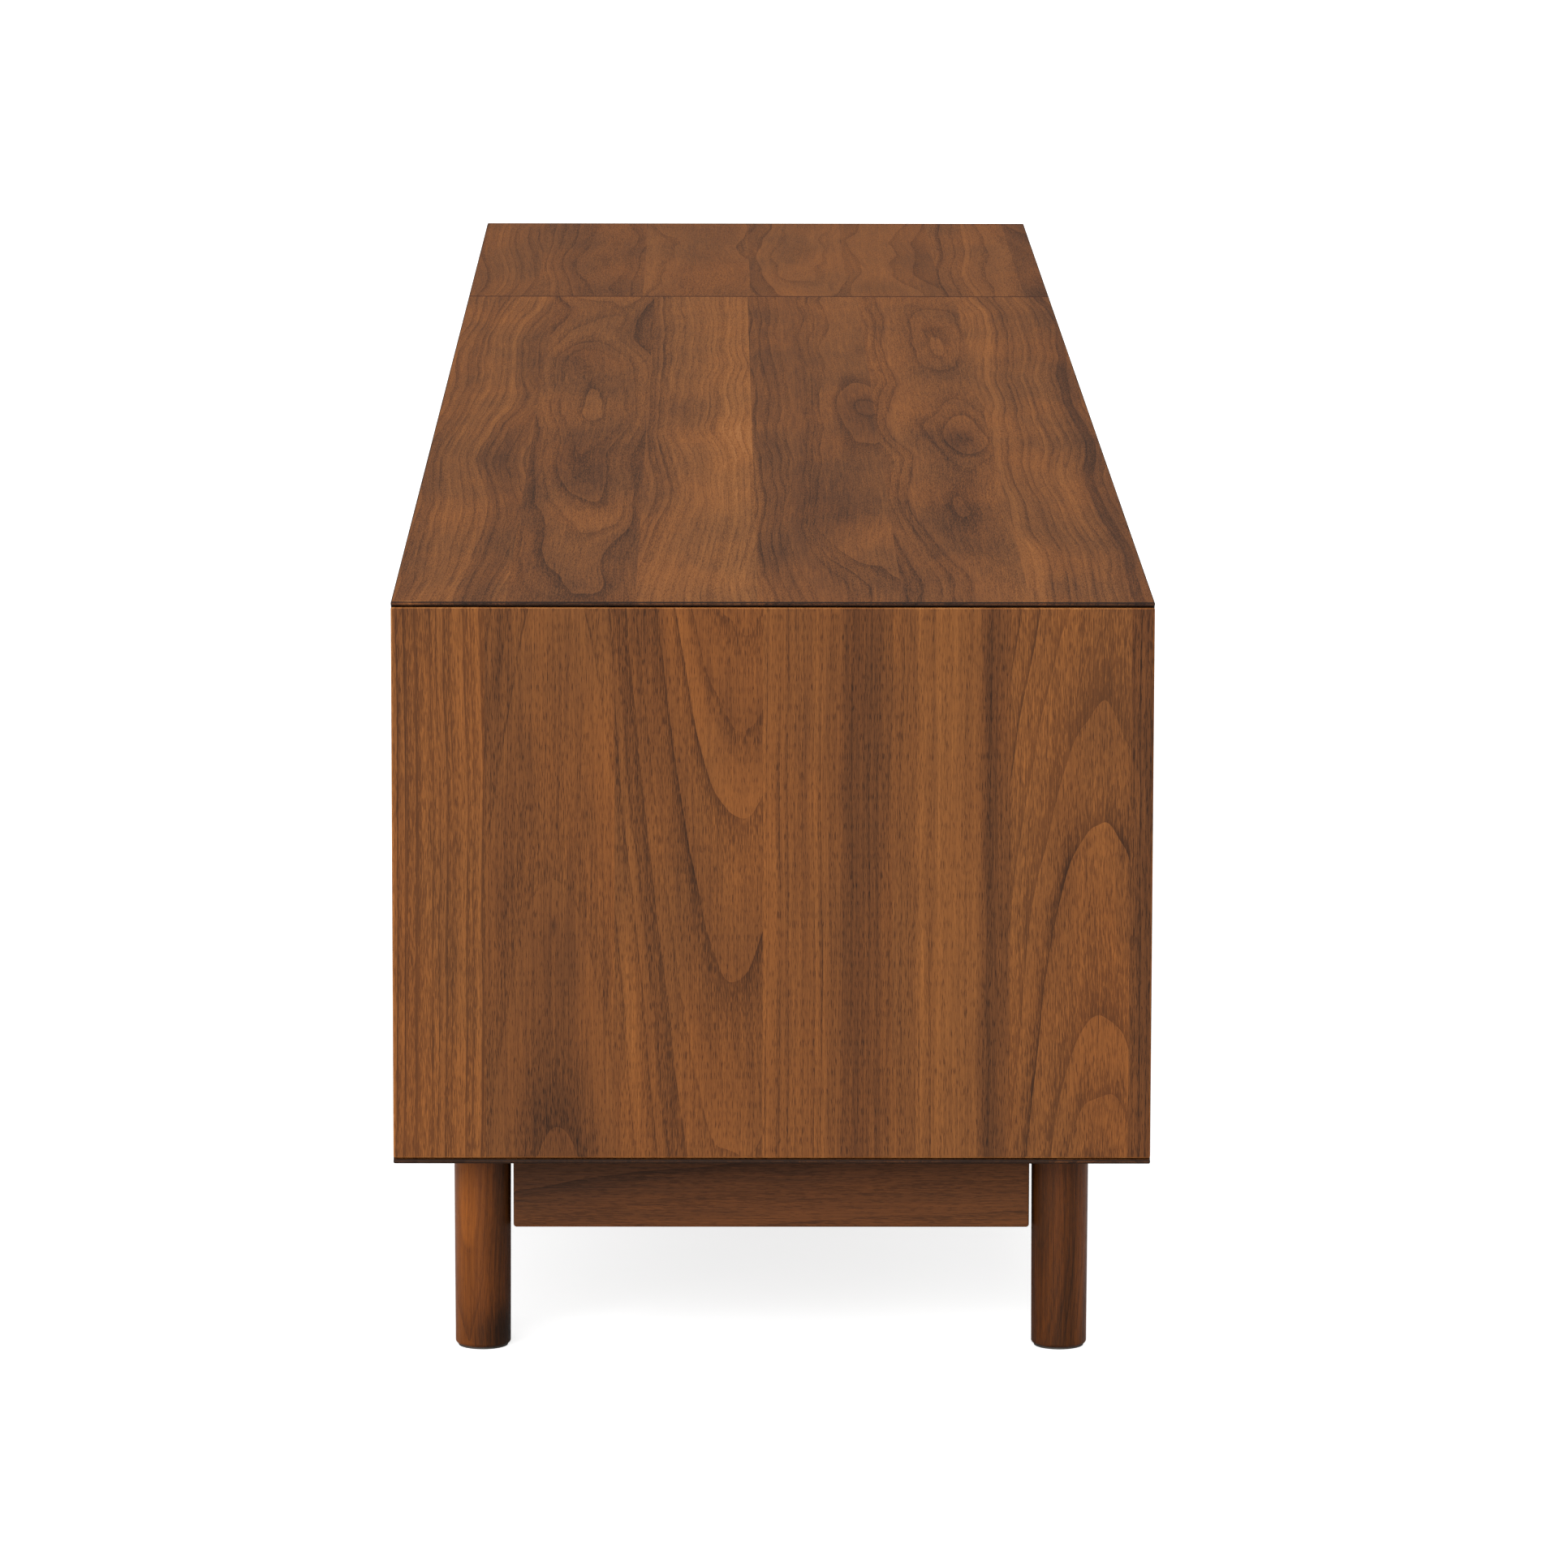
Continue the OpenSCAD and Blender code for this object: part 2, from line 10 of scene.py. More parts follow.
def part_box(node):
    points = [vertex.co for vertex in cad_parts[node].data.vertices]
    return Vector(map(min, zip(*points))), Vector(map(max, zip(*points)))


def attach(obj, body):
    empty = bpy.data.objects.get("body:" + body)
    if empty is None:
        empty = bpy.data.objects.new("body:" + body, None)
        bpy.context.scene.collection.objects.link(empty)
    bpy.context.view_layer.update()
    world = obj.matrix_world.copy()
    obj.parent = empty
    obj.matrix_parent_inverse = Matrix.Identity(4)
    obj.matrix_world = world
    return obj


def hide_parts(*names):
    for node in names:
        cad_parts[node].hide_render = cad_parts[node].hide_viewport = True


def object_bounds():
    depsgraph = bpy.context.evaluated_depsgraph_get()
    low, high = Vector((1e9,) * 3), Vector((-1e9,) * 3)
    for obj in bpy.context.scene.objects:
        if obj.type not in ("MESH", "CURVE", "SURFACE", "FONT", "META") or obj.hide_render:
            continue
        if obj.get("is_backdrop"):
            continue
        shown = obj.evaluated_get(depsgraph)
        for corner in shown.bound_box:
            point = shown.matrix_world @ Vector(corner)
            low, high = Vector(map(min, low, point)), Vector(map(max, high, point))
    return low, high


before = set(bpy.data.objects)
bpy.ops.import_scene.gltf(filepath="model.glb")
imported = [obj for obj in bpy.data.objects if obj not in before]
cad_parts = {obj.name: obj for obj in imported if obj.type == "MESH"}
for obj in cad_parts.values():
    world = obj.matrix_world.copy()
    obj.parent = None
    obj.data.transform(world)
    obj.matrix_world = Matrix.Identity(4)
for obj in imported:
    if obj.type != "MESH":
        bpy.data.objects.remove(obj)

cad_low, cad_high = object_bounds()


# ---------------------------------------------------------------- node graphs

class Graph:
    """Short names for building a node tree; a value may be a number, a tuple or a socket."""

    def __init__(self, tree):
        self.tree = tree

    def node(self, kind, **props):
        made = self.tree.nodes.new(kind)
        for name, value in props.items():
            setattr(made, name, value)
        return made

    def feed(self, socket, value):
        if isinstance(value, bpy.types.NodeSocket):
            self.tree.links.new(value, socket)
        elif value is not None:
            socket.default_value = value

    def math(self, operation, *values):
        made = self.node("ShaderNodeMath", operation=operation)
        for socket, value in zip(made.inputs, values):
            self.feed(socket, value)
        return made.outputs[0]

    def vector(self, operation, *values):
        made = self.node("ShaderNodeVectorMath", operation=operation)
        for socket, value in zip(made.inputs, values):
            self.feed(socket, value)
        return made.outputs[0]

    def join(self, x=0.0, y=0.0, z=0.0):
        made = self.node("ShaderNodeCombineXYZ")
        for socket, value in zip(made.inputs, (x, y, z)):
            self.feed(socket, value)
        return made.outputs[0]

    def split(self, value):
        made = self.node("ShaderNodeSeparateXYZ")
        self.feed(made.inputs[0], value)
        return made.outputs

    def noise(self, place, detail=2.0, rough=0.5):
        """Noise around 0.5 with cells of size 1 in place: (value, colour)."""
        made = self.node("ShaderNodeTexNoise", noise_dimensions="3D")
        self.feed(made.inputs["Vector"], place)
        made.inputs["Scale"].default_value = 1.0
        made.inputs["Detail"].default_value = detail
        made.inputs["Roughness"].default_value = rough
        return made.outputs[0], made.outputs[1]

    def ease(self, value, low, high, start=0.0, end=1.0):
        """Smooth step of value from low to high, given as start to end."""
        made = self.node("ShaderNodeMapRange", interpolation_type="SMOOTHSTEP")
        for socket, item in zip(made.inputs, (value, low, high, start, end)):
            self.feed(socket, item)
        return made.outputs[0]

    def ramp(self, value, stops):
        made = self.node("ShaderNodeValToRGB")
        items = made.color_ramp.elements
        while len(items) < len(stops):
            items.new(0.5)
        for item, (place, colour) in zip(items, stops):
            item.position = place
            item.color = (*colour, 1.0)
        self.feed(made.inputs[0], value)
        return made.outputs[0]

    def mix(self, factor, first, second, blend="MIX"):
        made = self.node("ShaderNodeMix", data_type="RGBA", blend_type=blend)
        self.feed(made.inputs[0], factor)
        self.feed(made.inputs[6], first)
        self.feed(made.inputs[7], second)
        return made.outputs[2]


def linear(red, green, blue):
    """A display colour, 0 to 255, as the shader's linear values."""
    def one(value):
        value /= 255.0
        return value / 12.92 if value <= 0.04045 else ((value + 0.055) / 1.055) ** 2.4
    return one(red), one(green), one(blue)


# ---------------------------------------------------------------- wood figure

def new_group(name, takes, gives):
    """An empty node group: takes maps socket names to kinds, gives names its float outputs."""
    tree = bpy.data.node_groups.new(name, "ShaderNodeTree")
    for socket, kind in takes.items():
        tree.interface.new_socket(socket, in_out="INPUT", socket_type="NodeSocket" + kind)
    for socket in gives:
        tree.interface.new_socket(socket, in_out="OUTPUT", socket_type="NodeSocketFloat")
    g = Graph(tree)
    return g, g.node("NodeGroupInput").outputs, g.node("NodeGroupOutput").inputs


# Noise in the grain: cells per metre across and along it, offset, detail and roughness
RIPPLE = (50.0, 10.0, 1.7, 1.0, 0.5)
EDDY = (15.0, 3.0, 9.7, 1.0, 0.35)
BREAK = (28.0, 6.0, 8.3, 2.0, 0.5)
STREAK = (620.0, 7.0, 2.3, 3.0, 0.6)
THREAD = (1700.0, 26.0, 5.9, 2.0, 0.5)
CLOUD = (16.0, 4.5, 6.1, 3.0, 0.55)
STROKES = (3400.0, 190.0, 3.9, 1.0, 0.4)
# Noise from ring to ring: cells per ring, offset, detail and roughness
UNEVEN = (0.4, 4.0, 1.0, 0.5)
SOFT = (0.62, 0.3, 3.0, 0.62)
BROAD = (0.17, 7.3, 1.0, 0.4)
# Cells per metre of the pith's slow wander across the grain, and its detail and roughness
WANDER_CELLS = 7.0
WANDER_NOISE = (1.5, 0.45)
# How far the small ripple bends a ring, in metres
RIPPLE_DEPTH = 0.0026
# By how many rings their width wanders, and how steeply a ring's tone falls off outwards
UNEVEN_RINGS = 3.0
FALL = 3.0
# Where a dark line breaks up, and how much of the falling tone it carries
BREAK_FROM, BREAK_TO = 0.36, 0.60
LINE_TAIL = 0.35
# What each leaf's seed is multiplied by to move its noises
SEED_STEPS = (3.1, 7.7, 5.3)
# The pore noise above which a pore shows, how much lower that is in crowded wood, and the
# softness of a pore's rim
PORE_LIMIT = 0.58
PORE_CROWD = 0.14
PORE_RIM = 0.10
# Shares of each ring's own tone, of the broad bands and of the soft bands
BAND_SHARES = (0.05, 0.45, 0.50)
# Shares of fine threads and of longer streaks in the fibre
FIBRE_SHARES = (0.60, 0.40)


def figure_group():
    """Grain of a board cut from a log whose pith wanders beside it.

    Place is (across, along, through) the grain. Pith is (centre across, depth, taper per metre),
    Leaf is (seed, wander across, wander of the depth) and Ring is (tone, ring width, porosity).
    Rings follow the distance to the pith, so a taper closes them into arches. Lift moves the
    rings in places, which closes them into eyes, and Swirl bends them by chance. Just outside
    each ring's sharp inner line the pores stand close, and then thin out."""
    g, source, sink = new_group(
        "wood_figure",
        {"Place": "Vector", "Pith": "Vector", "Leaf": "Vector", "Ring": "Vector",
         "Wave along": "Float", "Line": "Float", "Swirl": "Float", "Lift": "Float"},
        ("Bands", "Lines", "Fibre", "Pores", "Cloud"))
    across, along, through = g.split(source["Place"])
    centre, depth, taper = g.split(source["Pith"])
    seed, wander, dive = g.split(source["Leaf"])
    ring_width, porosity = g.split(source["Ring"])[1:]
    shift = g.join(*[g.math("MULTIPLY", seed, step) for step in SEED_STEPS])

    # slow wander of the pith
    slow = g.vector("ADD", shift, g.join(
        g.math("MULTIPLY", across, WANDER_CELLS),
        g.math("MULTIPLY", along, source["Wave along"]),
        g.math("MULTIPLY", through, WANDER_CELLS)))
    drift = g.split(g.vector("SUBTRACT", g.noise(slow, *WANDER_NOISE)[1], (0.5, 0.5, 0.5)))
    aside = g.math("MULTIPLY_ADD", drift[0], wander, g.math("SUBTRACT", across, centre))
    below = g.math("MULTIPLY_ADD", along, taper, g.math("ADD", depth, through))
    below = g.math("MULTIPLY_ADD", drift[1], dive, below)
    radius = g.math("SQRT", g.math("ADD", g.math("MULTIPLY", aside, aside),
                                   g.math("MULTIPLY", below, below)))

    # everything finer bends with the wander
    flow = g.join(aside, along, through)

    def grain(per_across, per_along, offset, detail, rough):
        scaled = g.vector("MULTIPLY", flow, (per_across, per_along, per_across))
        moved = g.vector("ADD", scaled, g.vector("ADD", shift, (offset, offset, offset)))
        return g.noise(moved, detail, rough)[0]

    ripple = g.math("SUBTRACT", grain(*RIPPLE), 0.5)
    radius = g.math("ADD", g.math("MULTIPLY_ADD", ripple, RIPPLE_DEPTH, radius), source["Lift"])
    eddy = g.math("SUBTRACT", grain(*EDDY), 0.5)
    radius = g.math("MULTIPLY_ADD", eddy, source["Swirl"], radius)

    def from_ring_to_ring(rings, per_ring, offset, detail, rough):
        return g.noise(g.join(g.math("MULTIPLY", rings, per_ring), seed, offset), detail, rough)[0]

    # rings of uneven width, each with its own tone and its own strength of line
    even = g.math("DIVIDE", radius, ring_width)
    count = g.math("MULTIPLY_ADD", from_ring_to_ring(even, *UNEVEN), UNEVEN_RINGS, even)
    index = g.math("FLOOR", count)
    phase = g.math("SUBTRACT", count, index)
    chance = g.node("ShaderNodeTexWhiteNoise", noise_dimensions="3D")
    g.feed(chance.inputs["Vector"], g.join(index, seed, 0.5))
    own_tone, own_line, own_pores = g.split(chance.outputs["Color"])
    soft = from_ring_to_ring(count, *SOFT)
    broad = from_ring_to_ring(count, *BROAD)
    own_share, broad_share, soft_share = BAND_SHARES
    bands = g.math("MULTIPLY_ADD", own_tone, own_share, g.math("MULTIPLY", broad, broad_share))
    bands = g.math("MULTIPLY_ADD", soft, soft_share, bands)

    outside = g.math("POWER", g.math("SUBTRACT", 1.0, phase), FALL)
    edge = g.ease(g.math("MULTIPLY", phase, ring_width), source["Line"], 0.0)
    broken = g.ease(grain(*BREAK), BREAK_FROM, BREAK_TO)
    loud = g.math("MULTIPLY", g.ease(own_line, 0.15, 0.85, 0.15, 1.0), broken)
    lines = g.math("MULTIPLY", g.math("MULTIPLY_ADD", outside, LINE_TAIL, edge), loud)

    thread_share, streak_share = FIBRE_SHARES
    fibre = g.math("MULTIPLY_ADD", grain(*THREAD), thread_share,
                   g.math("MULTIPLY", grain(*STREAK), streak_share))
    cloud = grain(*CLOUD)
    crowd = g.math("MULTIPLY", g.math("MULTIPLY_ADD", own_pores, 0.5, outside), porosity)
    limit = g.math("MULTIPLY_ADD", crowd, -PORE_CROWD, PORE_LIMIT)
    pores = g.ease(g.math("SUBTRACT", grain(*STROKES), limit), 0.0, PORE_RIM)

    for name, value in (("Bands", bands), ("Lines", lines), ("Fibre", fibre),
                        ("Pores", pores), ("Cloud", cloud)):
        g.feed(sink[name], value)
    return g.tree


def eye_group():
    """A smooth bump of height 1 at Centre, which falls off over Size across and along."""
    g, source, sink = new_group(
        "eye", {"Place": "Vector", "Centre": "Vector", "Size": "Vector"}, ("Height",))
    away = g.vector("DIVIDE", g.vector("SUBTRACT", source["Place"], source["Centre"]),
                    source["Size"])
    across, along = g.split(away)[:2]
    square = g.math("MULTIPLY_ADD", across, across, g.math("MULTIPLY", along, along))
    g.feed(sink["Height"], g.math("EXPONENT", g.math("MULTIPLY", square, -1.0)))
    return g.tree


FIGURE = figure_group()
EYE = eye_group()

# Walnut from the darkest line to the lightest streak
WALNUT = [
    (0.00, linear(36, 22, 14)),
    (0.22, linear(67, 40, 22)),
    (0.42, linear(99, 59, 30)),
    (0.60, linear(124, 76, 37)),
    (0.80, linear(148, 93, 45)),
    (1.00, linear(170, 116, 66)),
]
BIRCH = [
    (0.00, linear(150, 116, 78)),
    (0.30, linear(196, 163, 118)),
    (0.60, linear(216, 187, 143)),
    (1.00, linear(232, 208, 168)),
]


def leaf(edge, tone, pith, seed, wander=0.012, dive=0.010, width=0.005, porous=1.0):
    """One veneer leaf that starts at edge (across, metres) and runs to the next leaf."""
    return {"edge": edge, "pith": pith, "live": (seed, wander, dive), "ring": (tone, width, porous)}


FLAT_SAWN_SHARE = 0.6


def leaves_between(low, high, count, seed):
    """Leaves of uneven width for a board whose exact figure doesn't matter."""
    rng = random.Random(seed)
    made = []
    for i in range(count):
        edge = low + (high - low) * (i + (rng.uniform(-0.22, 0.22) if i else 0.0)) / count
        middle = low + (high - low) * (i + 0.5) / count
        flat_sawn = rng.random() < FLAT_SAWN_SHARE
        centre = middle + (rng.uniform(-0.02, 0.02) if flat_sawn else rng.uniform(0.10, 0.16))
        made.append(leaf(edge, rng.uniform(-0.09, 0.09),
                         (centre, rng.uniform(0.03, 0.06), rng.uniform(-0.03, 0.03)),
                         rng.uniform(1.0, 60.0), 0.03, 0.03, rng.uniform(0.004, 0.007)))
    return made


def pick_leaf(g, across, leaves, key):
    """The vector that belongs to the leaf at this place, switched at each leaf's edge."""
    chosen = g.join(*leaves[0][key])
    for before, item in zip(leaves, leaves[1:]):
        past = g.math("GREATER_THAN", across, item["edge"])
        change = tuple(new - old for old, new in zip(before[key], item[key]))
        chosen = g.vector("MULTIPLY_ADD", change, past, chosen)
    return chosen


def new_material(name):
    material = bpy.data.materials.new(name)
    material.use_nodes = True
    material.node_tree.nodes.clear()
    g = Graph(material.node_tree)
    shader = g.node("ShaderNodeBsdfPrincipled")
    g.feed(g.node("ShaderNodeOutputMaterial").inputs["Surface"], shader.outputs[0])
    return material, g, shader.inputs


# How strongly the fibre changes the tone and the roughness of wood, and how deep its relief is
FIBRE_TONE = 0.62
FIBRE_ROUGH = 0.14
PORE_ROUGH = 0.12
WOOD_STRENGTH = 0.25
WOOD_RELIEF = 0.0002
FINE_RELIEF = 0.0001
# Edges count as eased where the normal leaves the axes; a positive edge in wood() paints them lighter,
# part wear and part painted highlight, and a negative one paints a shade line on them
EASED_FROM, EASED_TO = 0.985, 0.90
# Faces count as end grain where they look along the grain; cells per metre of its layers
# across and through the board, and how strongly they show
END_FROM, END_TO = 0.80, 0.95
LAYERS_ACROSS, LAYERS_THROUGH = 90.0, 2600.0
LAYER_TONE = 0.35
# The tint of redder patches, where the cloud noise lies between two values
PATCH = (1.0, 0.93, 0.86, 1.0)
PATCH_FROM, PATCH_TO = 0.3, 0.7
# The colour of the joint in the top, and how much of it shows
JOINT = (*linear(62, 30, 17), 1.0)
JOINT_DEPTH = 0.65


def relief(g, shader, height, strength, depth):
    """Raise the surface by height times depth in metres."""
    bump = g.node("ShaderNodeBump")
    bump.inputs["Strength"].default_value = strength
    bump.inputs["Distance"].default_value = depth
    g.feed(bump.inputs["Height"], height)
    g.feed(shader["Normal"], bump.outputs[0])


def wood(name, axes, leaves, colours=WALNUT, wave=2.4, line=0.0008, swirl=0.002, tone=0.5,
         contrast=1.0, rough=0.5, edge=0.15, bands=0.80, lines=0.15, pore=0.22, cloud=0.28,
         gloss=0.12, dark_end=None, tint_and_sheen=(1.0, 1.0, 1.0), face=0.0, eyes=(), end_grain=-0.32):
    """Wood whose across, along and through directions are the object axes named in axes.

    face is where the board lies along the through axis. A positive edge lightens its eased
    edges, partly wear and partly a painted highlight, and a negative edge darkens them into a
    painted shade line; end_grain lightens or darkens the faces that look along the grain. The
    tint multiplies the colour: the legs' own colour, and a bluish painted sheen on the top.
    dark_end is the (axis, place, width) of a dark strip. Each eye is (across, along, size
    across, size along, lift of the rings, change of tone); on the legs long eyes paint shade on
    the inner sides and highlights on the outer sides."""
    material, g, shader = new_material(name)
    coords = g.node("ShaderNodeTexCoord").outputs
    xyz = dict(zip("xyz", g.split(coords["Object"])))
    across, along, through = (xyz[axis] for axis in axes)
    place = g.join(across, along, g.math("SUBTRACT", through, face))
    group = g.node("ShaderNodeGroup", node_tree=FIGURE)
    ring = pick_leaf(g, across, leaves, "ring")
    g.feed(group.inputs["Place"], place)
    g.feed(group.inputs["Pith"], pick_leaf(g, across, leaves, "pith"))
    g.feed(group.inputs["Leaf"], pick_leaf(g, across, leaves, "live"))
    g.feed(group.inputs["Ring"], ring)
    group.inputs["Wave along"].default_value = wave
    group.inputs["Line"].default_value = line
    group.inputs["Swirl"].default_value = swirl
    part = group.outputs

    def spread(socket, amount):
        return g.math("MULTIPLY", g.math("SUBTRACT", socket, 0.5), amount * contrast)

    level = g.math("ADD", tone, g.split(ring)[0])
    lift = 0.0
    for y, x, wide, long, raised, change in eyes:
        bump = g.node("ShaderNodeGroup", node_tree=EYE)
        g.feed(bump.inputs["Place"], place)
        bump.inputs["Centre"].default_value = (y, x, 0.0)
        bump.inputs["Size"].default_value = (wide, long, 1.0)
        lift = g.math("MULTIPLY_ADD", bump.outputs[0], raised, lift)
        level = g.math("MULTIPLY_ADD", bump.outputs[0], change, level)
    g.feed(group.inputs["Lift"], lift)
    level = g.math("ADD", level, spread(part["Bands"], bands))
    level = g.math("ADD", level, spread(part["Cloud"], cloud))
    level = g.math("ADD", level, spread(part["Fibre"], FIBRE_TONE))
    level = g.math("MULTIPLY_ADD", part["Lines"], -lines * contrast, level)
    level = g.math("MULTIPLY_ADD", part["Pores"], -pore, level)
    nx, ny, nz = g.split(g.vector("ABSOLUTE", coords["Normal"]))
    flat = g.math("MAXIMUM", nx, g.math("MAXIMUM", ny, nz))
    # eased edges: lighter is partly wear and partly a painted highlight, darker is a painted shade line
    level = g.math("MULTIPLY_ADD", g.ease(flat, EASED_FROM, EASED_TO), edge, level)
    if end_grain:
        facing = g.ease(dict(zip("xyz", (nx, ny, nz)))[axes[1]], END_FROM, END_TO)
        layers = g.noise(g.join(g.math("MULTIPLY", across, LAYERS_ACROSS), 0.0,
                                g.math("MULTIPLY", through, LAYERS_THROUGH)), 2.0, 0.5)[0]
        sunk = g.math("MULTIPLY_ADD", g.math("SUBTRACT", layers, 0.5), LAYER_TONE, end_grain)
        level = g.math("MULTIPLY_ADD", facing, sunk, level)
    colour = g.ramp(level, colours)
    # redder and browner patches, much wider than the figure
    patch = g.ease(part["Cloud"], PATCH_FROM, PATCH_TO)
    colour = g.mix(patch, colour, PATCH, "MULTIPLY")
    # the tint: a bluish painted sheen on the top, the wood's own colour on the legs
    colour = g.mix(1.0, colour, (*tint_and_sheen, 1.0), "MULTIPLY")
    if dark_end:
        axis, spot, width = dark_end
        near = g.math("ABSOLUTE", g.math("SUBTRACT", xyz[axis], spot))
        strip = g.math("LESS_THAN", near, width)
        colour = g.mix(g.math("MULTIPLY", strip, JOINT_DEPTH), colour, JOINT)
    g.feed(shader["Base Color"], colour)
    shade = g.math("MULTIPLY_ADD", g.math("SUBTRACT", part["Fibre"], 0.5), FIBRE_ROUGH, rough)
    g.feed(shader["Roughness"], g.math("MULTIPLY_ADD", part["Pores"], PORE_ROUGH, shade))
    shader["Specular IOR Level"].default_value = gloss
    height = g.math("MULTIPLY_ADD", part["Pores"], -1.0, g.math("MULTIPLY", part["Fibre"], 0.35))
    relief(g, shader, height, WOOD_STRENGTH, WOOD_RELIEF)
    return material


# Near end panel: straight, cathedral, drooping, striped, plain, arched and dark leaves
END_LEAVES = [
    leaf(-0.200, 0.07, (-0.330, 0.030, 0.000), 3.0, 0.006, 0.004, 0.0050, 1.9),
    leaf(-0.151, -0.02, (-0.113, 0.0435, 0.064), 11.0, 0.006, 0.004, 0.0066, 0.6),
    leaf(-0.083, -0.02, (-0.017, 0.0750, -0.075), 5.2, 0.008, 0.004, 0.0055, 1.1),
    leaf(-0.005, 0.00, (0.160, 0.030, 0.010), 8.4, 0.005, 0.004, 0.0045, 0.6),
    leaf(0.063, 0.04, (0.290, 0.030, 0.000), 21.0, 0.004, 0.004, 0.0085, 0.5),
    leaf(0.125, 0.08, (0.173, 0.0311, 0.083), 14.5, 0.010, 0.008, 0.0052, 1.5),
    leaf(0.188, -0.19, (0.330, 0.030, 0.000), 6.6, 0.004, 0.004, 0.0040, 0.8),
]
# Dark heart of the cathedral with light limbs, dark bands, and light lines in the plain leaf
END_EYES = [
    (-0.113, 0.222, 0.013, 0.030, 0.0, -0.10),
    (-0.115, 0.145, 0.026, 0.065, 0.0, -0.07),
    (-0.142, 0.300, 0.010, 0.120, 0.0, -0.08),
    (-0.075, 0.210, 0.006, 0.120, 0.0, 0.12),
    (-0.115, 0.236, 0.0014, 0.004, 0.0, -0.20),
    (-0.070, 0.380, 0.009, 0.090, 0.0, -0.11),
    (0.006, 0.250, 0.010, 0.500, 0.0, -0.06),
    (0.052, 0.300, 0.011, 0.400, 0.0, -0.09),
    (0.078, 0.260, 0.0025, 0.500, 0.0, 0.13),
    (0.087, 0.260, 0.0014, 0.500, 0.0, 0.09),
    (0.114, 0.240, 0.005, 0.600, 0.0, -0.23),
    (0.138, 0.190, 0.012, 0.080, 0.0, 0.08),
    (0.172, 0.295, 0.014, 0.035, 0.0, 0.14),
]
# Top: six leaves that run the length of each board
TOP_LEAVES = [
    leaf(-0.200, 0.00, (-0.260, 0.045, 0.010), 31.0, 0.04, 0.012, 0.0045),
    leaf(-0.140, -0.02, (-0.105, 0.050, 0.004), 17.0, 0.02, 0.010, 0.0045),
    leaf(-0.072, 0.03, (-0.190, 0.020, 0.000), 23.0, 0.03, 0.020, 0.0042),
    leaf(-0.008, -0.05, (0.060, 0.050, 0.004), 41.0, 0.02, 0.012, 0.0045),
    leaf(0.068, -0.04, (0.115, 0.045, 0.004), 37.0, 0.02, 0.012, 0.0042),
    leaf(0.135, 0.02, (0.290, 0.020, 0.000), 29.0, 0.03, 0.020, 0.0045),
]
# Eyes, knots and long light or dark streaks in those leaves
TOP_EYES = [
    (-0.105, 0.200, 0.038, 0.350, -0.011, 0.00),
    (-0.108, 0.400, 0.034, 0.190, 0.000, -0.14),
    (-0.101, 0.190, 0.014, 0.110, 0.000, 0.05),
    (-0.118, -0.120, 0.016, 0.090, -0.005, -0.12),
    (-0.050, 0.165, 0.018, 0.100, 0.006, -0.08),
    (-0.020, 0.400, 0.012, 0.700, 0.000, 0.12),
    (0.060, 0.140, 0.026, 0.220, -0.007, -0.05),
    (0.030, 0.640, 0.018, 0.120, -0.006, -0.12),
    (0.040, 0.500, 0.030, 0.350, 0.000, -0.10),
    (0.010, 0.450, 0.016, 0.400, 0.000, 0.06),
    (0.080, 0.300, 0.008, 0.250, 0.000, 0.09),
    (0.116, 0.310, 0.028, 0.130, -0.007, -0.05),
    (0.116, 0.310, 0.011, 0.060, 0.000, -0.20),
    (0.105, 0.700, 0.024, 0.180, 0.000, -0.10),
    (0.148, 0.300, 0.012, 0.900, 0.000, 0.10),
    (0.190, 0.300, 0.012, 2.000, 0.000, -0.18),
    (0.136, 0.850, 0.012, 0.250, -0.003, 0.06),
    (-0.160, 0.700, 0.014, 0.350, 0.000, -0.06),
    (-0.191, 1.000, 0.006, 0.003, 0.000, 0.35),
]
TOP_SHORT_LEAVES = [
    leaf(-0.200, 0.00, (-0.260, 0.045, 0.010), 51.0, 0.04, 0.02, 0.006),
    leaf(-0.154, -0.02, (-0.110, 0.045, 0.010), 57.0, 0.03, 0.02, 0.006),
    leaf(-0.080, 0.06, (-0.040, 0.050, -0.010), 63.0, 0.04, 0.02, 0.006),
    leaf(-0.006, -0.03, (0.030, 0.045, 0.010), 69.0, 0.04, 0.02, 0.006),
    leaf(0.062, -0.01, (0.095, 0.045, -0.010), 75.0, 0.03, 0.02, 0.006),
    leaf(0.126, 0.00, (0.200, 0.030, 0.000), 83.0, 0.04, 0.02, 0.006),
    leaf(0.183, -0.09, (0.200, 0.030, 0.000), 83.0, 0.04, 0.02, 0.006),
]


def dress(nodes, material):
    for name in nodes:
        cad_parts[name].material_slots[0].material = material


WELD_REACH = 0.000002
FLAT_WITHIN = math.radians(0.5)
SHARP_FROM = math.radians(40)
# Width of the eased edges, in metres
EASE_END = 0.0010
EASE_BOARD = 0.0008
EASE_APRON = 0.0012
EASE_LEG = 0.0006
EASE_BOX = 0.0010
EASE_PLASTIC = 0.0005
EASE_PIN = 0.0003
ROUND_SEGMENTS = 3


def eased(nodes, width, segments=2):
    """Round the sharp edges of CAD nodes a little with modifiers; their meshes stay unchanged."""
    for name in nodes:
        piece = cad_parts[name]
        weld = piece.modifiers.new("weld", "WELD")
        weld.merge_threshold = WELD_REACH
        flat = piece.modifiers.new("flat", "DECIMATE")
        flat.decimate_type = "DISSOLVE"
        flat.angle_limit = FLAT_WITHIN
        bevel = piece.modifiers.new("ease", "BEVEL")
        bevel.width = width
        bevel.segments = segments
        bevel.limit_method = "ANGLE"
        bevel.angle_limit = SHARP_FROM
        bevel.use_clamp_overlap = False
        piece.modifiers.new("normals", "WEIGHTED_NORMAL")


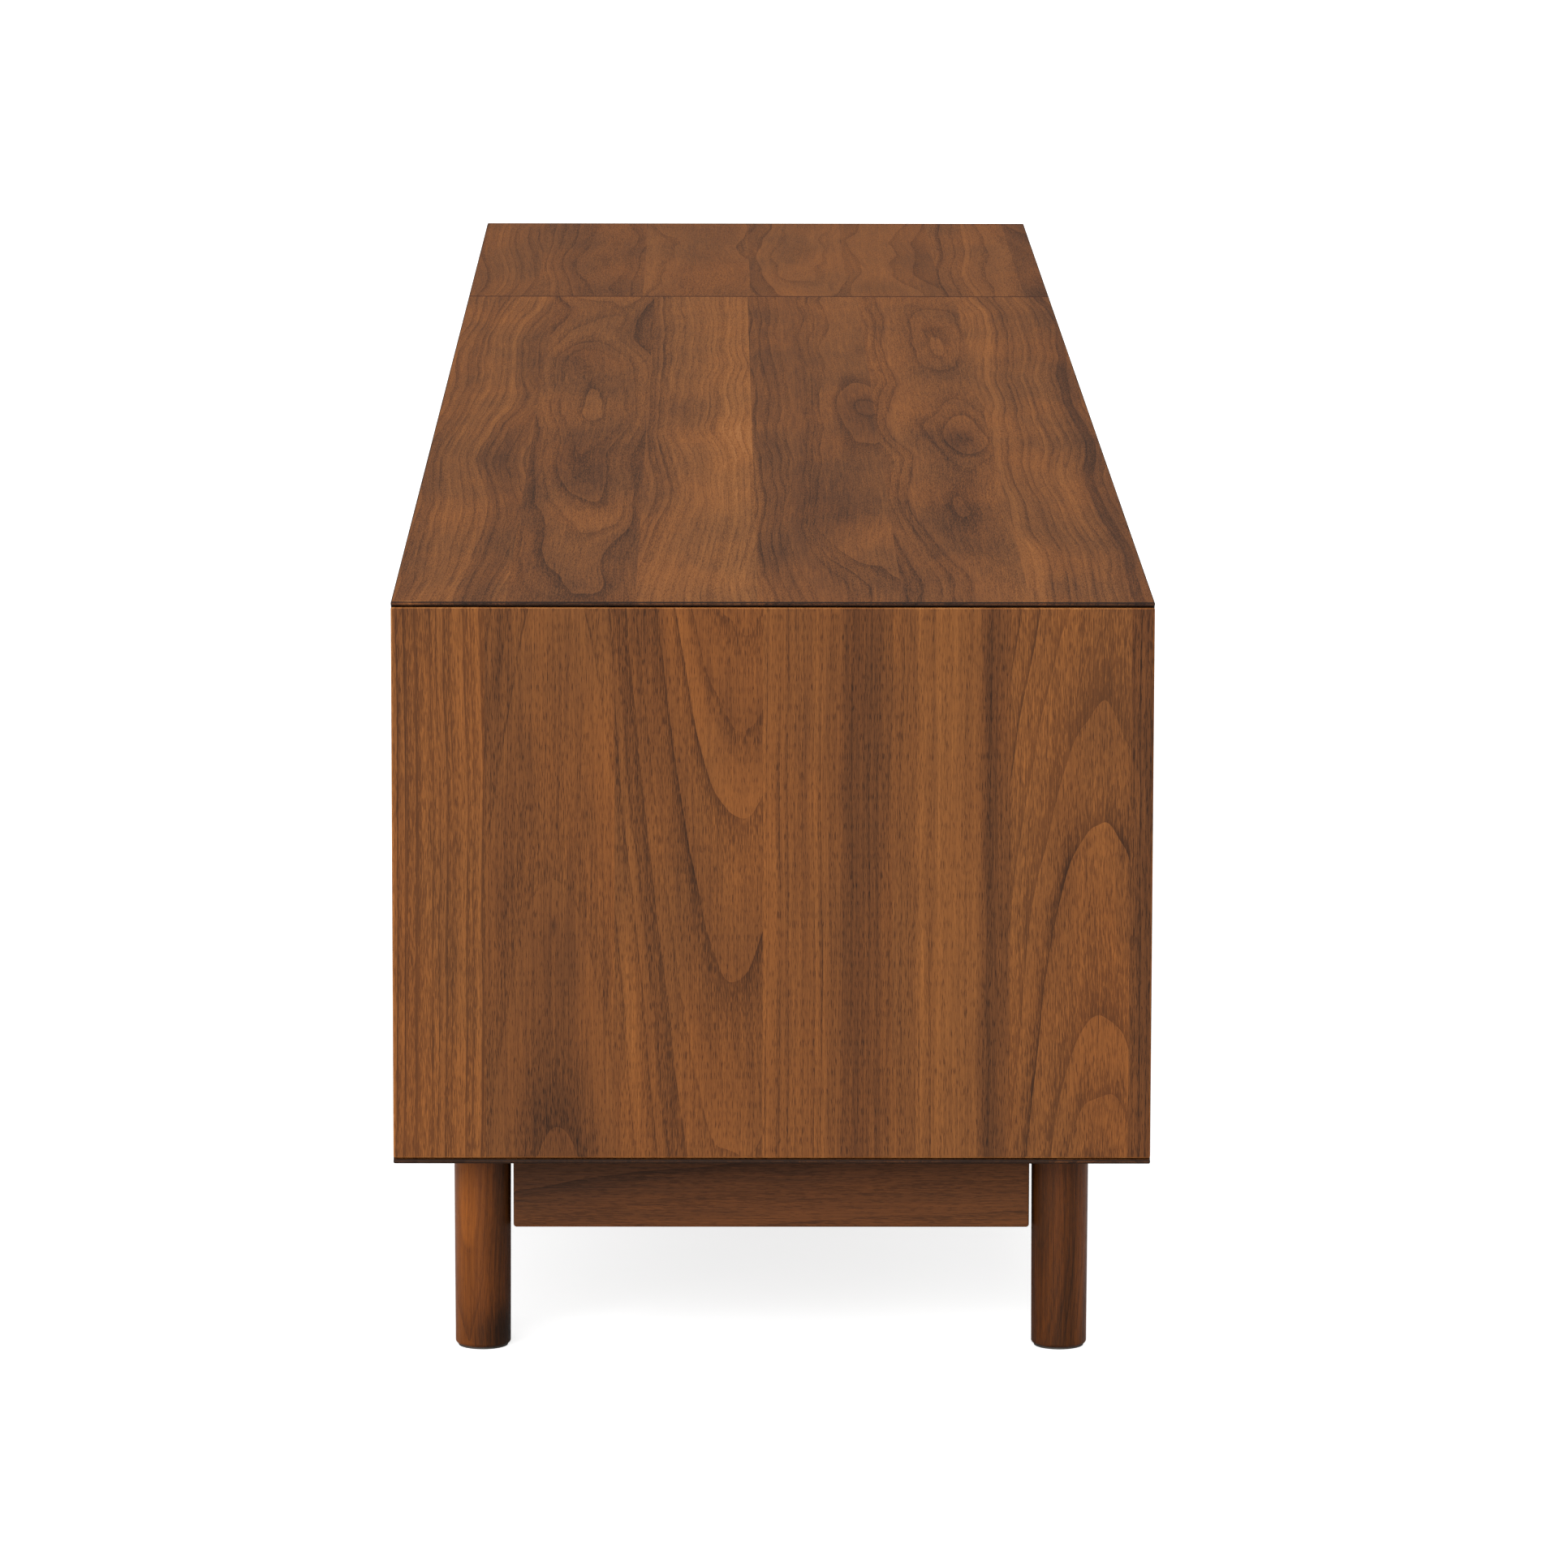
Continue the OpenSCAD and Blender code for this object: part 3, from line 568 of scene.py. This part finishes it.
# Metal: streaks per metre and how much fewer lie along them, clouds per metre, its darkest
# tone, and how much the streaks roughen and raise it
METAL_STREAKS = 900.0
METAL_ALONG = 0.02
METAL_CLOUDS = (60.0, 60.0, 60.0)
METAL_DARK = 0.78
METAL_ROUGH = 0.18
METAL_RELIEF = 0.12
# Plastic: grains and clouds per metre, its lightest tone, and how much the grains roughen
# and raise it
PLASTIC_GRAINS = (2500.0, 2500.0, 2500.0)
PLASTIC_CLOUDS = (90.0, 90.0, 90.0)
PLASTIC_LIGHT = 1.35
PLASTIC_HAZE = 0.004
PLASTIC_ROUGH = 0.16
PLASTIC_RELIEF = 0.3


def metal(name, colour, rough, axis="y"):
    """Rolled or brushed metal with fine streaks along one object axis."""
    material, g, shader = new_material(name)
    place = g.node("ShaderNodeTexCoord").outputs["Object"]
    stretch = tuple(METAL_STREAKS * (METAL_ALONG if one == axis else 1.0) for one in "xyz")
    streak = g.noise(g.vector("MULTIPLY", place, stretch), 3.0, 0.6)[0]
    cloud = g.noise(g.vector("MULTIPLY", place, METAL_CLOUDS), 3.0, 0.6)[0]
    dark = tuple(part * METAL_DARK for part in colour)
    g.feed(shader["Base Color"], g.ramp(g.math("MULTIPLY_ADD", cloud, 0.5,
                                               g.math("MULTIPLY", streak, 0.5)),
                                        [(0.3, dark), (0.7, colour)]))
    shader["Metallic"].default_value = 1.0
    g.feed(shader["Roughness"], g.math("MULTIPLY_ADD", streak, METAL_ROUGH, rough - METAL_ROUGH / 3))
    relief(g, shader, streak, METAL_RELIEF, FINE_RELIEF)
    return material


def plastic(name, colour, rough, soft=0.0):
    """Moulded plastic or rubber with a fine spark-eroded texture."""
    material, g, shader = new_material(name)
    place = g.node("ShaderNodeTexCoord").outputs["Object"]
    fine = g.noise(g.vector("MULTIPLY", place, PLASTIC_GRAINS), 2.0, 0.6)[0]
    cloud = g.noise(g.vector("MULTIPLY", place, PLASTIC_CLOUDS), 2.0, 0.5)[0]
    light = tuple(min(1.0, part * PLASTIC_LIGHT + PLASTIC_HAZE) for part in colour)
    g.feed(shader["Base Color"], g.ramp(cloud, [(0.3, colour), (0.75, light)]))
    g.feed(shader["Roughness"], g.math("MULTIPLY_ADD", fine, PLASTIC_ROUGH, rough - PLASTIC_ROUGH / 2))
    shader["Subsurface Weight"].default_value = soft
    relief(g, shader, fine, PLASTIC_RELIEF, FINE_RELIEF)
    return material


# ---------------------------------------------------------------- materials on the CAD nodes

SIDES = ("left", "right")
# The joint in the top shows as a fine line, which is darkened over this half width
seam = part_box("top_panel_main")[0].x
SEAM_STRIP = 0.0028
# On the top, a negative edge darkens the eased edges into a painted shade line, and the bluish tint
# paints a sheen
TOP_LOOK = {"wave": 2.6, "line": 0.0022, "lines": 0.07, "cloud": 0.44, "edge": -0.75,
            "tone": 0.58, "swirl": 0.018, "bands": 0.92, "pore": 0.20,
            "tint_and_sheen": (0.98, 1.02, 1.14), "dark_end": ("x", seam, SEAM_STRIP)}
TOP_SHORT_LOOK = {**TOP_LOOK, "tone": 0.54, "contrast": 0.8}
# On the end panel and the aprons, edge lightens the eased edges: partly wear, partly a painted highlight
END_LOOK = {"wave": 5.0, "edge": 0.30, "tone": 0.54, "lines": 0.12}
APRON_LOOK = {"tone": 0.21, "contrast": 0.7, "wave": 1.2, "lines": 0.08, "edge": 0.10,
              "pore": 0.10}
LEG_LOOK = {"wave": 9.0, "rough": 0.34, "edge": 0.0, "gloss": 0.14, "lines": 0.08, "pore": 0.08,
            "tint_and_sheen": (1.0, 0.83, 0.52), "end_grain": 0.0, "swirl": 0.012}
BIRCH_LOOK = {"colours": BIRCH, "contrast": 0.7, "rough": 0.48, "pore": 0.05, "gloss": 0.3,
              "end_grain": 0.0, "edge": 0.0}


WALNUT_LEAF = 0.07
BIRCH_LEAF = 0.2


def board(node, axes, leaves, **look):
    """Give one CAD board its own wood, with the figure starting at the board's middle."""
    low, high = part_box(node)
    middle = ((low + high) / 2)["xyz".index(axes[2])]
    dress([node], wood(node, axes, leaves, face=middle, **look))


def plain_board(node, axes, seed, leaf_width=WALNUT_LEAF, **look):
    """A board whose leaves are laid out by chance, about leaf_width wide."""
    low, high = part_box(node)
    start, end = (corner["xyz".index(axes[0])] for corner in (low, high))
    count = max(1, round((end - start) / leaf_width))
    board(node, axes, leaves_between(start, end, count, seed), **look)


board("top_panel_main", "yxz", TOP_LEAVES, eyes=TOP_EYES, **TOP_LOOK)
board("top_panel_short", "yxz", TOP_SHORT_LEAVES, **TOP_SHORT_LOOK)
board("end_panel_right", "yzx", END_LEAVES, eyes=END_EYES, **END_LOOK)
plain_board("end_panel_left", "yzx", 5, wave=3.5)
# edge=-0.60 darkens the bottom board's eased edges into a painted shade line under the end panels
plain_board("bottom_panel", "yxz", 8, edge=-0.60)
plain_board("drawer_divider", "zyx", 18)
for i, side in enumerate(SIDES):
    plain_board("partition_" + side, "yzx", 12 + i, wave=3.5)
    plain_board("adjustable_shelf_" + side, "yxz", 15 + i)
    plain_board("door_" + side, "zxy", 23 + i)
    plain_board(f"drawer_{side}_front", "zxy", 31 + i)
    plain_board("apron_" + side, "zyx", 35 + i, **APRON_LOOK)
plain_board("cubby_shelf", "yxz", 14)
for i, place in enumerate(("left", "centre", "right")):
    plain_board("back_panel_" + place, "zxy", 27 + i, tone=0.42, rough=0.55)
for i, place in enumerate(("front", "back")):
    plain_board("apron_" + place, "zxy", 41 + i, **APRON_LOOK)

# Tone of each leg, and its eyes as in wood() but with the first number from the leg's middle. On the
# near legs the long eyes paint shade on the inner side and a highlight on the outer side.
LEGS = {
    "front_left": (0.54, ()),
    # front right leg: the long dark stripe on the inner side is painted shade, the long light one on the
    # outer side a painted highlight
    "front_right": (0.50, ((0.014, 0.060, 0.009, 0.200, 0.0, -0.34),
                           (0.012, 0.008, 0.016, 0.014, 0.0, -0.30),
                           (-0.014, 0.060, 0.006, 0.200, 0.0, 0.13),
                           (-0.006, 0.070, 0.008, 0.030, 0.004, 0.05))),
    "back_left": (0.50, ()),
    # back right leg: the long dark stripe on the inner side is painted shade, the long light one on the
    # outer side a painted highlight
    "back_right": (0.27, ((-0.014, 0.060, 0.007, 0.200, 0.0, -0.10),
                          (0.014, 0.060, 0.006, 0.200, 0.0, 0.16))),
}
for i, (place, (tone, eyes)) in enumerate(LEGS.items()):
    low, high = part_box("leg_" + place)
    centre = (low + high) / 2
    eyes = [(centre.y + eye[0], *eye[1:]) for eye in eyes]
    grain = [leaf(-2.0, 0.0, (centre.y + 0.03, 0.03, 0.05), 5.0 + 7 * i, width=0.003)]
    board("leg_" + place, "yzx", grain, tone=tone, eyes=eyes, **LEG_LOOK)

for i, side in enumerate(SIDES):
    for j, part in enumerate(("outer_side", "inner_side")):
        plain_board(f"drawer_{side}_{part}", "zyx", 51 + 10 * i + j, BIRCH_LEAF, **BIRCH_LOOK)
    for j, part in enumerate(("box_front", "back")):
        plain_board(f"drawer_{side}_{part}", "zxy", 54 + 10 * i + j, BIRCH_LEAF, **BIRCH_LOOK)
    plain_board(f"drawer_{side}_bottom", "yxz", 57 + 10 * i, BIRCH_LEAF, **BIRCH_LOOK)
plain_board("mitre_splines", "zxy", 75, **BIRCH_LOOK)
plain_board("case_dowels", "xzy", 76, **BIRCH_LOOK)

zinc = metal("zinc_steel", linear(196, 198, 202), 0.34)
nickel = metal("brushed_nickel", linear(206, 203, 196), 0.28, axis="z")
for side in SIDES:
    drawer, door = "drawer_" + side, "door_" + side
    dress([drawer + "_rails", drawer + "_middle_rails", drawer + "_screws"], zinc)
    dress([door + "_pivots", door + "_strike_plate"], nickel)
    dress([door + "_bumpers"], plastic("bumper_" + side, linear(186, 184, 176), 0.4, soft=0.2))
dress(["drawer_cabinet_rails", "back_panel_screws", "apron_screws", "leg_bolts",
       "leg_threaded_inserts"], zinc)
dress(["pivot_bushes", "shelf_pins"], nickel)
dress(["cable_grommets", "magnetic_catches"], plastic("black_plastic", linear(38, 38, 40), 0.42))
dress(["leg_glides"], plastic("glide_plastic", linear(58, 54, 50), 0.5))

eased(["end_panel_left", "end_panel_right"], EASE_END)
eased(["top_panel_main", "top_panel_short", "bottom_panel"], EASE_BOARD)
eased(["partition_left", "partition_right", "cubby_shelf", "drawer_divider",
       "adjustable_shelf_left", "adjustable_shelf_right"], EASE_BOARD)
eased(["door_left", "door_right", "drawer_left_front", "drawer_right_front"], EASE_BOARD)
eased(["apron_left", "apron_right", "apron_front", "apron_back"], EASE_APRON)
eased(["leg_" + place for place in LEGS], EASE_LEG, ROUND_SEGMENTS)
eased([f"drawer_{side}_{part}" for side in SIDES
       for part in ("box_front", "outer_side", "inner_side", "back")], EASE_BOX)
eased(["cable_grommets", "magnetic_catches"], EASE_PLASTIC)
eased(["shelf_pins", "pivot_bushes", "leg_glides"], EASE_PIN)
eased([f"door_{side}_bumpers" for side in SIDES], EASE_BOARD, ROUND_SEGMENTS)


# ---------------------------------------------------------------- hardware in detail

SAME_POINT = 0.000005
SMOOTH_BELOW = math.radians(32)
SCREW_SIDES = 24
SCREW_RINGS = 12
PLATE_SIDES = 48
# Head thickness and shank radius of each kind of screw
BACK_SCREW = (0.0015, 0.0015)
APRON_SCREW = (0.0020, 0.0020)
DRAWER_SCREW = (0.0020, 0.0015)
# Head radius, head thickness, shank radius and length
CATCH_SCREW = (0.0024, 0.0010, 0.0012, 0.009)
STRIKE_SCREW = (0.0029, 0.0008, 0.0014, 0.009)
# The gap between a shelf and the wall, the collar's play in it, its rim and its chamfer
SHELF_GAP = 0.001
COLLAR_PLAY = 0.0002
COLLAR_RIM = 0.0016
COLLAR_EASE = 0.0004
# Pole plates: half their spacing and thickness, how far they stand out, depth, end margin, chamfer
POLE_SPACING = 0.0024
POLE_HALF = 0.0007
POLE_OUT = 0.0001
POLE_DEPTH = 0.004
POLE_MARGIN = 0.0045
POLE_EASE = 0.00015
# Catch screws: how far the heads stand out, how far back they sit, half their spacing
CATCH_HEAD_OUT = 0.0009
CATCH_SCREW_BACK = 0.002
CATCH_SCREW_SPACING = 0.0075
# Strike plate: corner radius, chamfer, and the rim and inside of its countersunk hole
STRIKE_CORNER = 0.0020
STRIKE_EASE = 0.0003
STRIKE_HOLE = 0.0031
STRIKE_BORE = 0.0019
STRIKE_SCREW_SUNK = 0.0001


def solids(node):
    """The separate solids of a CAD node, each as its lowest and highest corner, in a fixed order."""
    mesh = bmesh.new()
    mesh.from_mesh(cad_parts[node].data)
    bmesh.ops.remove_doubles(mesh, verts=mesh.verts, dist=SAME_POINT)
    left = set(mesh.verts)
    boxes = []
    while left:
        group = [left.pop()]
        for vert in group:
            near = {edge.other_vert(vert) for edge in vert.link_edges} & left
            left -= near
            group.extend(near)
        low = Vector([min(vert.co[i] for vert in group) for i in range(3)])
        high = Vector([max(vert.co[i] for vert in group) for i in range(3)])
        boxes.append((low, high))
    mesh.free()
    return sorted(boxes, key=lambda pair: tuple(round(part, 4) for part in pair[0]))


def merged(boxes, axis):
    """Boxes that lie on one line along axis, joined: a screw's head and its shank."""
    lines = {}
    for low, high in boxes:
        middle = (low + high) / 2
        key = tuple(round(middle[i], 4) for i in range(3) if i != axis)
        if key in lines:
            old = lines[key]
            low = Vector([min(pair) for pair in zip(low, old[0])])
            high = Vector([max(pair) for pair in zip(high, old[1])])
        lines[key] = (low, high)
    return [lines[key] for key in sorted(lines)]


def piece(name, mesh_maker, material, body, slot, replaces=()):
    """Turn a bmesh into a named piece that rides on a body."""
    mesh = bpy.data.meshes.new(name)
    mesh_maker.normal_update()
    bmesh.ops.recalc_face_normals(mesh_maker, faces=mesh_maker.faces)
    mesh_maker.to_mesh(mesh)
    mesh_maker.free()
    for polygon in mesh.polygons:
        polygon.use_smooth = True
    mesh.set_sharp_from_angle(angle=SMOOTH_BELOW)
    mesh.materials.append(material)
    made = bpy.data.objects.new(name, mesh)
    bpy.context.scene.collection.objects.link(made)
    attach(made, body)
    if replaces:
        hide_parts(*replaces)
    return made


def loft(mesh, rings, centre, aim):
    """Skin rings of (radius, height) per angle around the axis aim; a ring of one pair is a point."""
    turn = Vector(aim).to_track_quat("Z", "Y").to_matrix()
    sides = max(len(ring) for ring in rings)
    made = []
    for ring in rings:
        verts = []
        for i, (radius, height) in enumerate(ring):
            angle = 2 * math.pi * i / sides
            spot = Vector((radius * math.cos(angle), radius * math.sin(angle), height))
            verts.append(mesh.verts.new(Vector(centre) + turn @ spot))
        made.append(verts)
    for first, second in zip(made, made[1:]):
        for i in range(sides):
            j = (i + 1) % sides
            corners = [first[i % len(first)], first[j % len(first)],
                       second[j % len(second)], second[i % len(second)]]
            mesh.faces.new(list(dict.fromkeys(corners)))


def circle(radius, height, sides=SCREW_SIDES):
    """One ring for loft, at this radius and height."""
    return [(radius, height)] * sides


def cross(arm, half_width, height):
    """The outline of a cross-shaped recess."""
    ring = []
    for i in range(SCREW_SIDES):
        angle = 2 * math.pi * i / SCREW_SIDES
        off = abs((angle + math.pi / 4) % (math.pi / 2) - math.pi / 4)
        reach = half_width / max(math.sin(off), 0.001)
        ring.append((min(arm, reach), height))
    return ring


def screw(mesh, top, aim, head, head_t, shank, length):
    """A pointed wood screw with a domed head and a cross recess; the head's top is at top."""
    rings = [[(0.0, -length)]]
    pitch = 0.7 * shank
    height = -length + 2.0 * shank
    rings.append(circle(0.5 * shank, -length + shank))
    for _ in range(min(SCREW_RINGS, int((length - head_t - 4 * shank) / pitch))):
        rings.append(circle(0.72 * shank, height))
        rings.append(circle(shank, height + 0.45 * pitch))
        height += pitch
    rings.append(circle(0.8 * shank, height))
    rings.append(circle(0.8 * shank, -head_t))
    rings.append(circle(head, -head_t))
    rings.append(circle(head, -0.55 * head_t))
    rings.append(circle(0.93 * head, -0.22 * head_t))
    rings.append(circle(0.72 * head, 0.0))
    rings.append(cross(0.58 * head, 0.13 * head, 0.0))
    rings.append(cross(0.40 * head, 0.10 * head, -0.6 * head_t))
    rings.append([(0.0, -0.75 * head_t)])
    loft(mesh, rings, top, aim)


def screw_set(node, body, axis, way, head_t, shank):
    """Replace a CAD node of plain screws; way is the side of the axis that the heads are on."""
    mesh = bmesh.new()
    for low, high in merged(solids(node), axis):
        middle = (low + high) / 2
        top = middle.copy()
        top[axis] = high[axis] if way > 0 else low[axis]
        aim = [way if i == axis else 0 for i in range(3)]
        head = (high - low)[(axis + 1) % 3] / 2
        screw(mesh, top, aim, head, head_t, shank, (high - low)[axis])
    piece(node + "_detailed", mesh, zinc, body, "zinc_steel", [node])


screw_set("back_panel_screws", "case", 1, 1, *BACK_SCREW)
screw_set("apron_screws", "case", 2, -1, *APRON_SCREW)
for side in SIDES:
    screw_set(f"drawer_{side}_screws", "drawer_" + side, 1, 1, *DRAWER_SCREW)


def shelf_pin_collars():
    """A thin collar on each shelf pin, in the gap between the shelf and the wall."""
    mesh = bmesh.new()
    thick = SHELF_GAP - COLLAR_PLAY
    for low, high in solids("shelf_pins"):
        middle = (low + high) / 2
        side = "left" if middle.x < 0 else "right"
        shelf_low, shelf_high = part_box("adjustable_shelf_" + side)
        near_low = abs(middle.x - shelf_low.x) < abs(middle.x - shelf_high.x)
        wall = shelf_low.x - SHELF_GAP if near_low else shelf_high.x + SHELF_GAP
        aim = (1, 0, 0) if near_low else (-1, 0, 0)
        inner = (high.z - low.z) / 2
        rim = inner + COLLAR_RIM
        rings = [circle(inner, 0.0), circle(rim, 0.0), circle(rim, 0.5 * thick),
                 circle(rim - COLLAR_EASE, thick), circle(inner, thick)]
        loft(mesh, rings, (wall, middle.y, middle.z), aim)
    piece("shelf_pin_collars", mesh, nickel, "case", "bright_steel")


def rounded_box(mesh, low, high, ease):
    """A box with all its edges chamfered."""
    made = bmesh.ops.create_cube(mesh, size=1.0)
    size = Vector(high) - Vector(low)
    for vert in made["verts"]:
        vert.co = Vector(low) + Vector([(part + 0.5) * length for part, length in zip(vert.co, size)])
    edges = list({edge for vert in made["verts"] for edge in vert.link_edges})
    bmesh.ops.bevel(mesh, geom=edges, offset=ease, segments=2, affect="EDGES", profile=0.7)


def catch_details():
    """Two pole plates in the face of each magnetic catch and two screws that hold it."""
    poles = bmesh.new()
    heads = bmesh.new()
    for low, high in solids("magnetic_catches"):
        middle = (low + high) / 2
        for step in (-1, 1):
            x = middle.x + step * POLE_SPACING
            rounded_box(poles, (x - POLE_HALF, low.y - POLE_OUT, low.z + POLE_MARGIN),
                        (x + POLE_HALF, low.y + POLE_DEPTH, high.z - POLE_MARGIN), POLE_EASE)
            outward = 1 if middle.x > 0 else -1
            face = high.x if outward > 0 else low.x
            top = (face + outward * CATCH_HEAD_OUT, middle.y + CATCH_SCREW_BACK,
                   middle.z + step * CATCH_SCREW_SPACING)
            screw(heads, top, (outward, 0, 0), *CATCH_SCREW)
    piece("catch_pole_plates", poles, nickel, "case", "bright_steel")
    piece("catch_screws", heads, zinc, "case", "zinc_steel")


def strike_plate(side):
    """The plate on the door that meets the catch, with a countersunk screw in its middle."""
    node = f"door_{side}_strike_plate"
    low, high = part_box(node)
    middle = (low + high) / 2
    half_x, half_z, thick = (high.x - low.x) / 2, (high.z - low.z) / 2, high.y - low.y
    power = 2 + 6 * (1 - STRIKE_CORNER / half_x)

    def outline(shrink, height):
        """A rounded rectangle; loft turns its first direction along X and its second along Z."""
        ring = []
        for i in range(PLATE_SIDES):
            angle = 2 * math.pi * i / PLATE_SIDES
            across = abs(math.cos(angle)) / (half_x - shrink)
            along = abs(math.sin(angle)) / (half_z - shrink)
            ring.append((1 / (across ** power + along ** power) ** (1 / power), height))
        return ring

    mesh = bmesh.new()
    rings = [circle(STRIKE_BORE, -thick, PLATE_SIDES), outline(0.0, -thick),
             outline(0.0, -STRIKE_EASE), outline(STRIKE_EASE, 0.0),
             circle(STRIKE_HOLE, 0.0, PLATE_SIDES), circle(STRIKE_BORE, -0.8 * thick, PLATE_SIDES),
             circle(STRIKE_BORE, -thick, PLATE_SIDES)]
    loft(mesh, rings, (middle.x, high.y, middle.z), (0, 1, 0))
    screw(mesh, (middle.x, high.y - STRIKE_SCREW_SUNK, middle.z), (0, 1, 0), *STRIKE_SCREW)
    piece(node + "_detailed", mesh, nickel, "door_" + side, "bright_steel", [node])


shelf_pin_collars()
catch_details()
for side in SIDES:
    strike_plate(side)


# ---------------------------------------------------------------- stage, light and camera

FLOOR_REACH = 40.0
FLOOR_GREYS = ((0.56, 0.56, 0.56), (0.60, 0.60, 0.60))
FLOOR_GLOW = 0.78
# The camera's turn, tilt and roll in degrees, and its place: past the near end, aside, above
CAMERA_ANGLES = (0.461, 9.295, 0.121)
CAMERA_AWAY = 4.5814
CAMERA_ASIDE = -0.0309
CAMERA_HEIGHT = 1.0613
LENS_MM = 203.1
SENSOR_MM = 36.0
# Strength of the dome at the horizon and overhead, and the height at which it is full
DOME_LOW = 0.056
DOME_HIGH = 0.48
DOME_FULL = 0.9


def make_floor():
    """A pale floor that the camera sees as white paper, and that throws little light back."""
    mesh = bpy.data.meshes.new("floor")
    corners = [(FLOOR_REACH * x, FLOOR_REACH * y, 0.0)
               for x, y in ((-1, -1), (1, -1), (1, 1), (-1, 1))]
    mesh.from_pydata(corners, [], [(0, 1, 2, 3)])
    floor = bpy.data.objects.new("floor", mesh)
    bpy.context.scene.collection.objects.link(floor)
    material, g, shader = new_material("pale_floor")
    place = g.node("ShaderNodeTexCoord").outputs["Object"]
    grain = g.noise(g.vector("MULTIPLY", place, (3.0, 3.0, 3.0)), 3.0, 0.5)[0]
    g.feed(shader["Base Color"], g.ramp(grain, list(zip((0.3, 0.7), FLOOR_GREYS))))
    shader["Roughness"].default_value = 0.9
    shader["Specular IOR Level"].default_value = 0.0
    shader["Emission Color"].default_value = (1.0, 1.0, 1.0, 1.0)
    seen = g.node("ShaderNodeLightPath").outputs["Is Camera Ray"]
    g.feed(shader["Emission Strength"], g.math("MULTIPLY", seen, FLOOR_GLOW))
    mesh.materials.append(material)
    floor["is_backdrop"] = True


def make_camera():
    """Long lens from beyond the right-hand end, a little above and turned slightly."""
    yaw, pitch, roll = (math.radians(angle) for angle in CAMERA_ANGLES)
    ahead = Vector((-math.cos(yaw) * math.cos(pitch), math.sin(yaw) * math.cos(pitch),
                    -math.sin(pitch)))
    right = ahead.cross(Vector((0, 0, 1))).normalized()
    up = right.cross(ahead)
    tilted_right = right * math.cos(roll) + up * math.sin(roll)
    tilted_up = up * math.cos(roll) - right * math.sin(roll)
    data = bpy.data.cameras.new("camera")
    data.lens = LENS_MM
    data.sensor_width = SENSOR_MM
    data.clip_end = 200.0
    camera = bpy.data.objects.new("camera", data)
    bpy.context.scene.collection.objects.link(camera)
    turn = Matrix((tilted_right, tilted_up, -ahead)).transposed().to_4x4()
    away = Vector((cad_high.x + CAMERA_AWAY, CAMERA_ASIDE, CAMERA_HEIGHT))
    camera.matrix_world = Matrix.Translation(away) @ turn
    bpy.context.scene.camera = camera


def make_world():
    """White behind the object; what lights it is brighter overhead than near the horizon."""
    world = bpy.data.worlds.new("studio")
    world.use_nodes = True
    world.node_tree.nodes.clear()
    g = Graph(world.node_tree)
    height = g.split(g.node("ShaderNodeTexCoord").outputs["Generated"])[2]
    dome = g.ease(height, 0.0, DOME_FULL, DOME_LOW, DOME_HIGH)
    seen = g.node("ShaderNodeLightPath").outputs["Is Camera Ray"]
    back = g.node("ShaderNodeBackground")
    back.inputs["Color"].default_value = (1.0, 1.0, 1.0, 1.0)
    unseen = g.math("SUBTRACT", 1.0, seen)
    g.feed(back.inputs["Strength"], g.math("ADD", g.math("MULTIPLY", dome, unseen), seen))
    g.feed(g.node("ShaderNodeOutputWorld").inputs["Surface"], back.outputs[0])
    bpy.context.scene.world = world
    bpy.context.scene.view_settings.view_transform = "Standard"


def sun_light(name, source, strength, spread):
    """Even soft light from the direction of source."""
    data = bpy.data.lights.new(name, "SUN")
    data.energy = strength
    data.angle = math.radians(spread)
    light = bpy.data.objects.new(name, data)
    bpy.context.scene.collection.objects.link(light)
    light.rotation_euler = Vector(source).to_track_quat("Z", "Y").to_euler()


make_floor()
make_camera()
make_world()
sun_light("key", (0.88, -0.22, 0.36), 2.35, 45)
sun_light("overhead", (0.0, 0.1, 1.0), 1.5, 60)
sun_light("left", (0.25, -0.95, 0.12), 1.4, 60)
sun_light("right", (0.12, 0.98, 0.15), 1.0, 60)

low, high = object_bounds()
